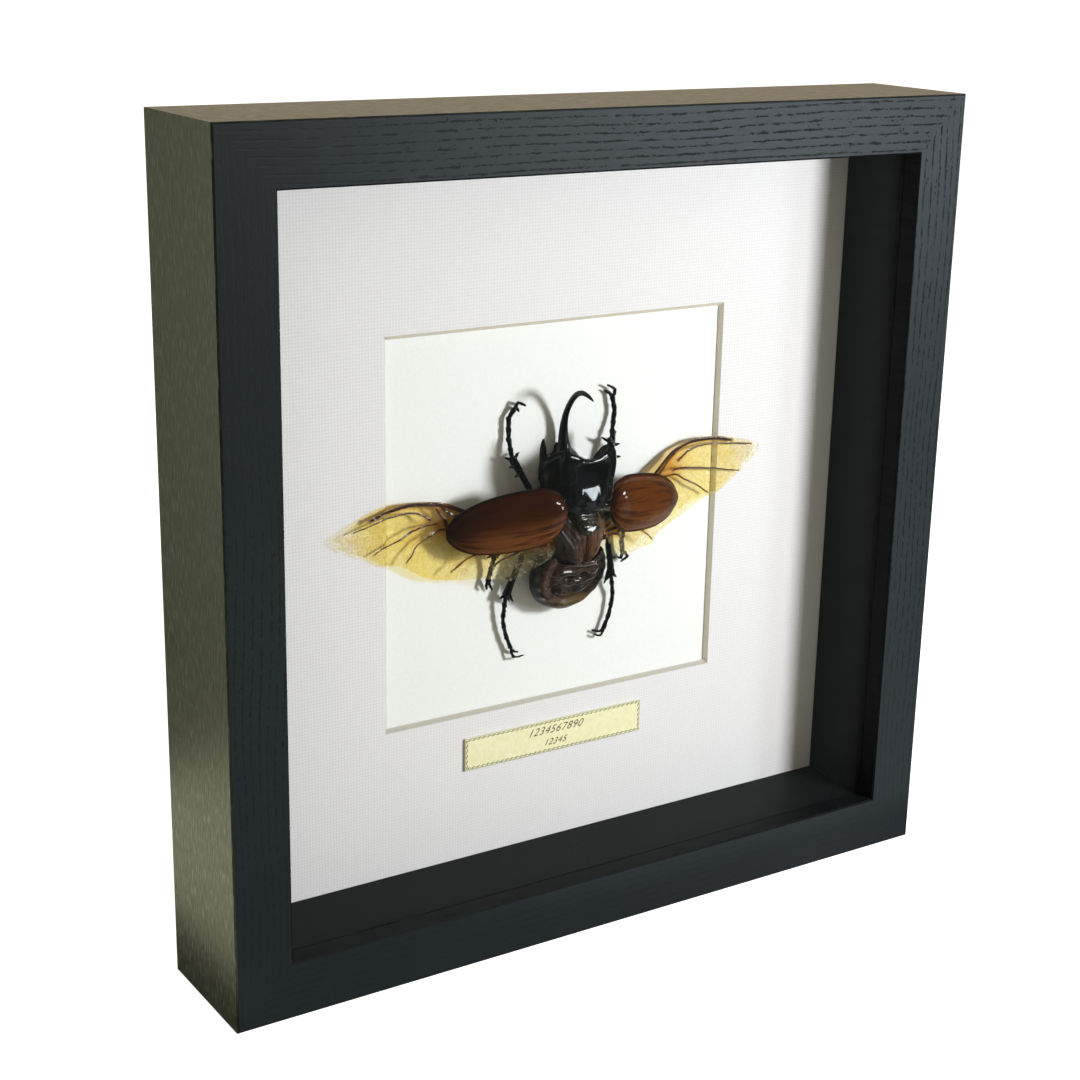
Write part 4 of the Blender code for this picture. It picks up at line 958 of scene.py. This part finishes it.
def is_inside(outline, points):
    """Which flat points lie inside an outline."""
    inside = np.zeros(len(points), bool)
    for (ax, ay), (bx, by) in zip(outline, np.roll(outline, -1, 0)):
        crosses = (ay > points[:, 1]) != (by > points[:, 1])
        reach = ax + (points[:, 1] - ay) / (by - ay if by != ay else 1) * (bx - ax)
        inside ^= crosses & (reach > points[:, 0])
    return inside


def vein_points(line, half):
    """Points in rows along a vein: its middle, its two edges and the membrane just beside it."""
    line = np.array([tuple(point) for point in line])
    lengths = np.concatenate([[0], np.cumsum(np.linalg.norm(np.diff(line, axis=0), axis=1))])
    stops = np.arange(0, lengths[-1], 0.34)
    middle = np.stack([np.interp(stops, lengths, line[:, axis]) for axis in (0, 1)], 1)
    heading = np.gradient(middle, axis=0)
    side = np.stack([-heading[:, 1], heading[:, 0]], 1) / np.linalg.norm(heading, axis=1)[:, None]
    widths = half * (1.25 - 0.75 * stops / lengths[-1])
    rows = [middle]
    for hand in (1, -1):
        for share, extra in ((0.75, 0), (1, 0.12)):
            rows.append(middle + hand * side * (widths * share + extra)[:, None])
    return np.concatenate(rows)


def wing_cells(outline, lines, spacing):
    """Flat points and triangles that fill an outline, finest along the veins."""
    edge = np.array([tuple(point) for point in outline])
    low, high = edge.min(0), edge.max(0)
    rows = np.arange(low[1], high[1], spacing * 0.87)
    grid = []
    for row, forward in enumerate(rows):
        across = np.arange(low[0] + spacing * 0.5 * (row % 2), high[0], spacing)
        grid.append(np.stack([across, np.full(len(across), forward)], 1))
    grid = np.concatenate(grid)
    along_veins = np.concatenate([vein_points(line, width / 2) for width, line in lines])
    for width, line in lines:
        near, _ = distance_to(line, grid)
        grid = grid[near > width / 2 * 1.25 + 0.3]
    inner = np.concatenate([along_veins, grid])
    clear, _ = distance_to([*map(tuple, edge), tuple(edge[0])], inner)
    inner = inner[is_inside(edge, inner) & (clear > 0.25)]
    points = [Vector(point) for point in edge] + [Vector(point) for point in inner]
    sides = [(index, (index + 1) % len(edge)) for index in range(len(edge))]
    flat, _, faces, *_ = delaunay_2d_cdt(points, sides, [], 1, 1e-6)
    return np.array([tuple(point) for point in flat]), faces


def make_wing(side_name, side, edge, veins, patch, material):
    """A thin crumpled membrane between raised veins, stained brown at its front edge, root and patch."""
    outline = smooth_line([*edge, edge[0]], 6)[:-1]
    lines = [(width, smooth_line(points, 5)) for width, points in veins]
    flat, faces = wing_cells(outline, lines, WING_CELL)
    across, forward = flat.T
    reach = np.abs(across)
    vein, beside = np.zeros(len(flat)), np.zeros(len(flat))
    for width, line in lines:
        near, along = distance_to(line, flat)
        half = width / 2 * (1.25 - 0.75 * along)
        vein = np.maximum(vein, 1 - np.clip((near - half * 0.8) / 0.1, 0, 1))
        beside = np.maximum(beside, hump(near - half, 0.7))
    front, _ = distance_to(lines[0][1], flat)
    border, _ = distance_to([*outline, outline[0]], flat)
    root = np.clip((WING_FLAT - reach) / (WING_FLAT - WING_ROOT), 0, 1)
    height = WING_LOW + WING_RISE * root**1.15
    spread = np.stack([across, forward * 1.7, np.zeros(len(flat))])
    pleat = 0.34 * np.sin(forward * 1.15 + 0.10 * reach * side) * np.clip(border / 4, 0, 1)
    crumple = 0.45 * wrinkle(spread, 9.0, 41) + 0.2 * wrinkle(spread, 3.4, 43)
    height = height + (pleat + crumple) * np.clip(border / 2.0, 0.15, 1) + 0.15 * vein
    height = np.maximum(height, 0.4)
    spots = np.stack([across * MM, BOARD - height * MM, forward * MM + MIDDLE], 1)
    item = new_piece("hind_wing_" + side_name, spots.tolist(), [tuple(face) for face in faces])
    stained = 0.9 * hump(front, 2.2) * root + 0.6 * root**2.5 + 0.45 * hump(front, 1.2)
    stained = stained + 0.5 * beside * np.clip((62 - reach) / 25, 0, 1)
    blot = hump(np.hypot(across - patch[0], (forward - patch[1]) * 1.2), patch[2])
    rear_root = root * np.clip((-6 - forward) / 6, 0, 1)
    tip = 68 - 0.35 * np.abs(forward - 5)
    note(item, "vein", vein)
    note(item, "stain", np.clip(stained + 0.75 * blot - rear_root, 0, 1))
    root_pale = 0.3 + 0.3 * rear_root if side > 0 else 1.2 * rear_root
    note(item, "pale", np.clip((reach - tip) / 5, 0, 1) + np.clip(root_pale, 0, 1))
    only(item)
    bpy.ops.object.mode_set(mode="EDIT")
    bpy.ops.mesh.select_all(action="SELECT")
    bpy.ops.mesh.normals_make_consistent(inside=False)
    bpy.ops.object.mode_set(mode="OBJECT")
    apply(item, "SOLIDIFY", thickness=MEMBRANE * MM, offset=0.0)
    show(item, material, "wing_" + side_name)


# Label


def make_figures(material):
    """Plain figures in slanted type, in two lines on the label."""
    middle = (LABEL_LOW.z + LABEL_HIGH.z) / 2
    for name, words, size, rise in (
        ("figures_upper", "1234567890", 3.6, 1.0),
        ("figures_lower", "12345", 3.0, -3.0),
    ):
        bpy.ops.object.text_add(location=(0, LABEL_LOW.y - 0.01 * MM, middle + rise * MM))
        item = bpy.context.object
        item.name = name
        item.rotation_euler = (math.pi / 2, 0, 0)
        item.data.body = words
        item.data.size = size * MM
        item.data.shear = 0.5
        item.data.align_x = "CENTER"
        item.data.extrude = 0.01 * MM
        item.data.space_character = 1.15
        only(item)
        bpy.ops.object.convert(target="MESH")
        bpy.ops.object.transform_apply(location=True, rotation=True, scale=True)
        item.data.materials.append(material)
        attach(item, "root")


# Frame and stage


def make_bars(across, upright, paint):
    """The four bars with their mitres closed, and the inner walls brought up to the lip."""
    for side, material in (("top", across), ("bottom", across), ("left", upright), ("right", upright)):
        bar = copy_of("frame_" + side, "bar_" + side)
        wall = copy_of("liner_" + side, "wall_" + side)
        for point in bar.data.vertices:
            place = point.co
            if side in ("top", "bottom"):
                place.x += math.copysign(MITRE_GAP, place.x)
            else:
                place.z += math.copysign(MITRE_GAP, place.z - MIDDLE)
        for point in wall.data.vertices:
            if point.co.y < WALL_FRONT:
                point.co.y = LIP_BACK
        bar.data.materials.append(material)
        for face in bar.data.polygons:
            reach = max(abs(face.center.x), abs(face.center.z - MIDDLE))
            inward = abs(face.normal.y) < 0.95 and reach < MIDDLE - LIP_WIDTH
            face.material_index = 1 if inward else 0
        for item, slot, name in ((bar, "black_wood", "frame_"), (wall, "black_liner", "liner_")):
            item.data.materials.append(paint)
            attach(item, "root")
            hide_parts(name + side)


def dress(names, material):
    """Gives CAD nodes that keep their own shape a finish."""
    for name in names:
        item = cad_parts[name]
        item.data.materials.clear()
        item.data.materials.append(material)


def make_stage():
    """A pale floor that stays nearly white, and a world that only the camera sees at full strength."""
    bpy.ops.mesh.primitive_plane_add(size=60, location=(0, 0, CASE_LOW.z - 0.2 * MM))
    floor = bpy.context.object
    floor.name = "pale_floor"
    finish = Finish(
        "pale_floor",
        Base_Color=(0.82, 0.82, 0.82, 1),
        Roughness=0.8,
        Specular_IOR_Level=0.1,
        Emission_Color=(1, 1, 1, 1),
        Emission_Strength=0.85,
    )
    floor.data.materials.append(finish.material)
    floor.visible_diffuse = False
    floor.visible_glossy = False
    world = bpy.data.worlds.new("studio")
    bpy.context.scene.world = world
    world.use_nodes = True
    tree = world.node_tree
    seen = node(tree, "ShaderNodeLightPath", output=0)
    spread = node(tree, "ShaderNodeLightPath", output=2)
    strength = 0.06 + seen * 0.94 + spread * 0.33
    white, warm = (1.0, 1.0, 1.0, 1), (1.0, 0.93, 0.74, 1)
    tint = node(tree, "ShaderNodeMix", {"data_type": "RGBA"}, {0: seen, 6: warm, 7: white}, output=2)
    background = tree.nodes["Background"]
    tree.links.new(tint.socket, background.inputs["Color"])
    tree.links.new(strength.socket, background.inputs["Strength"])


def add_light(name, place, target, size, power, colour):
    """A square studio light aimed at a point."""
    bpy.ops.object.light_add(type="AREA", location=place)
    light = bpy.context.object
    light.name = name
    light.data.size = size
    light.data.energy = power
    light.data.color = colour
    light.rotation_euler = (Vector(target) - Vector(place)).to_track_quat("-Z", "Y").to_euler()
    return light


def fade_gently(light):
    """Makes a light weaken with distance more slowly than usual."""
    light.data.use_nodes = True
    tree = light.data.node_tree
    slow = node(tree, "ShaderNodeLightFalloff", inputs={"Strength": 1.0}, output=1)
    steady = node(tree, "ShaderNodeLightFalloff", inputs={"Strength": 1.0}, output=2)
    strength = slow * 0.45 + steady * 2.0
    tree.links.new(strength.socket, tree.nodes["Emission"].inputs["Strength"])


def make_lights():
    """A near lamp that throws the shadows, a cool window, warm light on the case's sides, and glints."""
    bpy.ops.object.light_add(type="POINT", location=(0.174, -0.223, 0.193))
    key = bpy.context.object
    key.name = "key"
    key.data.shadow_soft_size = 0.027
    key.data.energy = 12.8
    key.data.color = (0.985, 0.99, 1.0)
    fade_gently(key)
    key.visible_glossy = False
    add_light("window", (0.675, -0.804, 0.19), (0, 0, 0.15), 0.17, 1.7, (0.84, 0.95, 1.0))
    add_light("top_bounce", (0.62, 0.95, 0.62), (0, 0, 0.25), 0.9, 2.3, (1.0, 0.83, 0.58))
    add_light("left_bounce", (-0.95, 0.55, 0.05), (-0.125, 0, 0.10), 0.6, 9.8, (0.95, 1.0, 0.68))
    add_light("table_left", (-0.24, 0.05, 0.002), (-0.24, 0.05, 1.0), 0.2, 0.16, (1.0, 1.0, 0.68))
    for name, place, size, power in (
        ("table_front", (0.12, -0.13, 0.002), 0.16, 0.028),
        ("lamp_glint", (0.223, -0.438, 0.484), 0.17, 3.2),
    ):
        glow = add_light(name, place, (0, 0, 0.14), size, power, (0.92, 0.96, 1.0))
        glow.visible_diffuse = False


def make_camera():
    """The photograph's camera, from its place, its turn and its lens."""
    data = bpy.data.cameras.new("photograph")
    camera = bpy.data.objects.new("photograph", data)
    bpy.context.scene.collection.objects.link(camera)
    forward = Vector((
        math.sin(CAMERA_YAW) * math.cos(CAMERA_PITCH),
        math.cos(CAMERA_YAW) * math.cos(CAMERA_PITCH),
        -math.sin(CAMERA_PITCH),
    ))
    level = Vector((math.cos(CAMERA_YAW), -math.sin(CAMERA_YAW), 0))
    upright = level.cross(forward)
    right = math.cos(CAMERA_ROLL) * level + math.sin(CAMERA_ROLL) * upright
    up = right.cross(forward)
    turn = Matrix((right, up, -forward)).transposed().to_4x4()
    camera.matrix_world = Matrix.Translation(CAMERA_PLACE) @ turn
    data.sensor_width = 36
    data.lens = CAMERA_LENS
    data.shift_x, data.shift_y = CAMERA_SHIFT
    data.clip_start = 0.01
    bpy.context.scene.camera = camera


def build():
    shell, horn = black_shell(), horn_shell()
    across, upright = stained_ash("ash_across", "x"), stained_ash("ash_upright", "z")
    make_bars(across, upright, liner_paint())
    dress(["glass_pane"], picture_glass())
    dress(["window_mat"], linen_card())
    dress(["mount_board"], mount_card())
    dress(["label"], label_paper())
    dress(["back_panel"], hardboard())
    dress(["hanger", *BACK_TABS], zinc_steel())
    make_figures(plain_ink())
    make_pronotum(shell)
    make_thorax(back_brown())
    make_abdomen(belly_shell())
    make_scutellum(scutellum_shell())
    make_small_body_parts(shell, horn)
    make_legs(horn)
    case = wing_case()
    make_wing_case("left", case)
    make_wing_case("right", case)
    membrane = wing_membrane()
    make_wing("left", -1, LEFT_WING_EDGE, LEFT_WING_VEINS, (-41.5, 3.0, 5.5), membrane)
    make_wing("right", 1, RIGHT_WING_EDGE, RIGHT_WING_VEINS, (40.0, 10.5, 5.5), membrane)
    make_stage()
    make_lights()
    make_camera()
    bpy.context.scene.view_settings.view_transform = "Standard"


build()
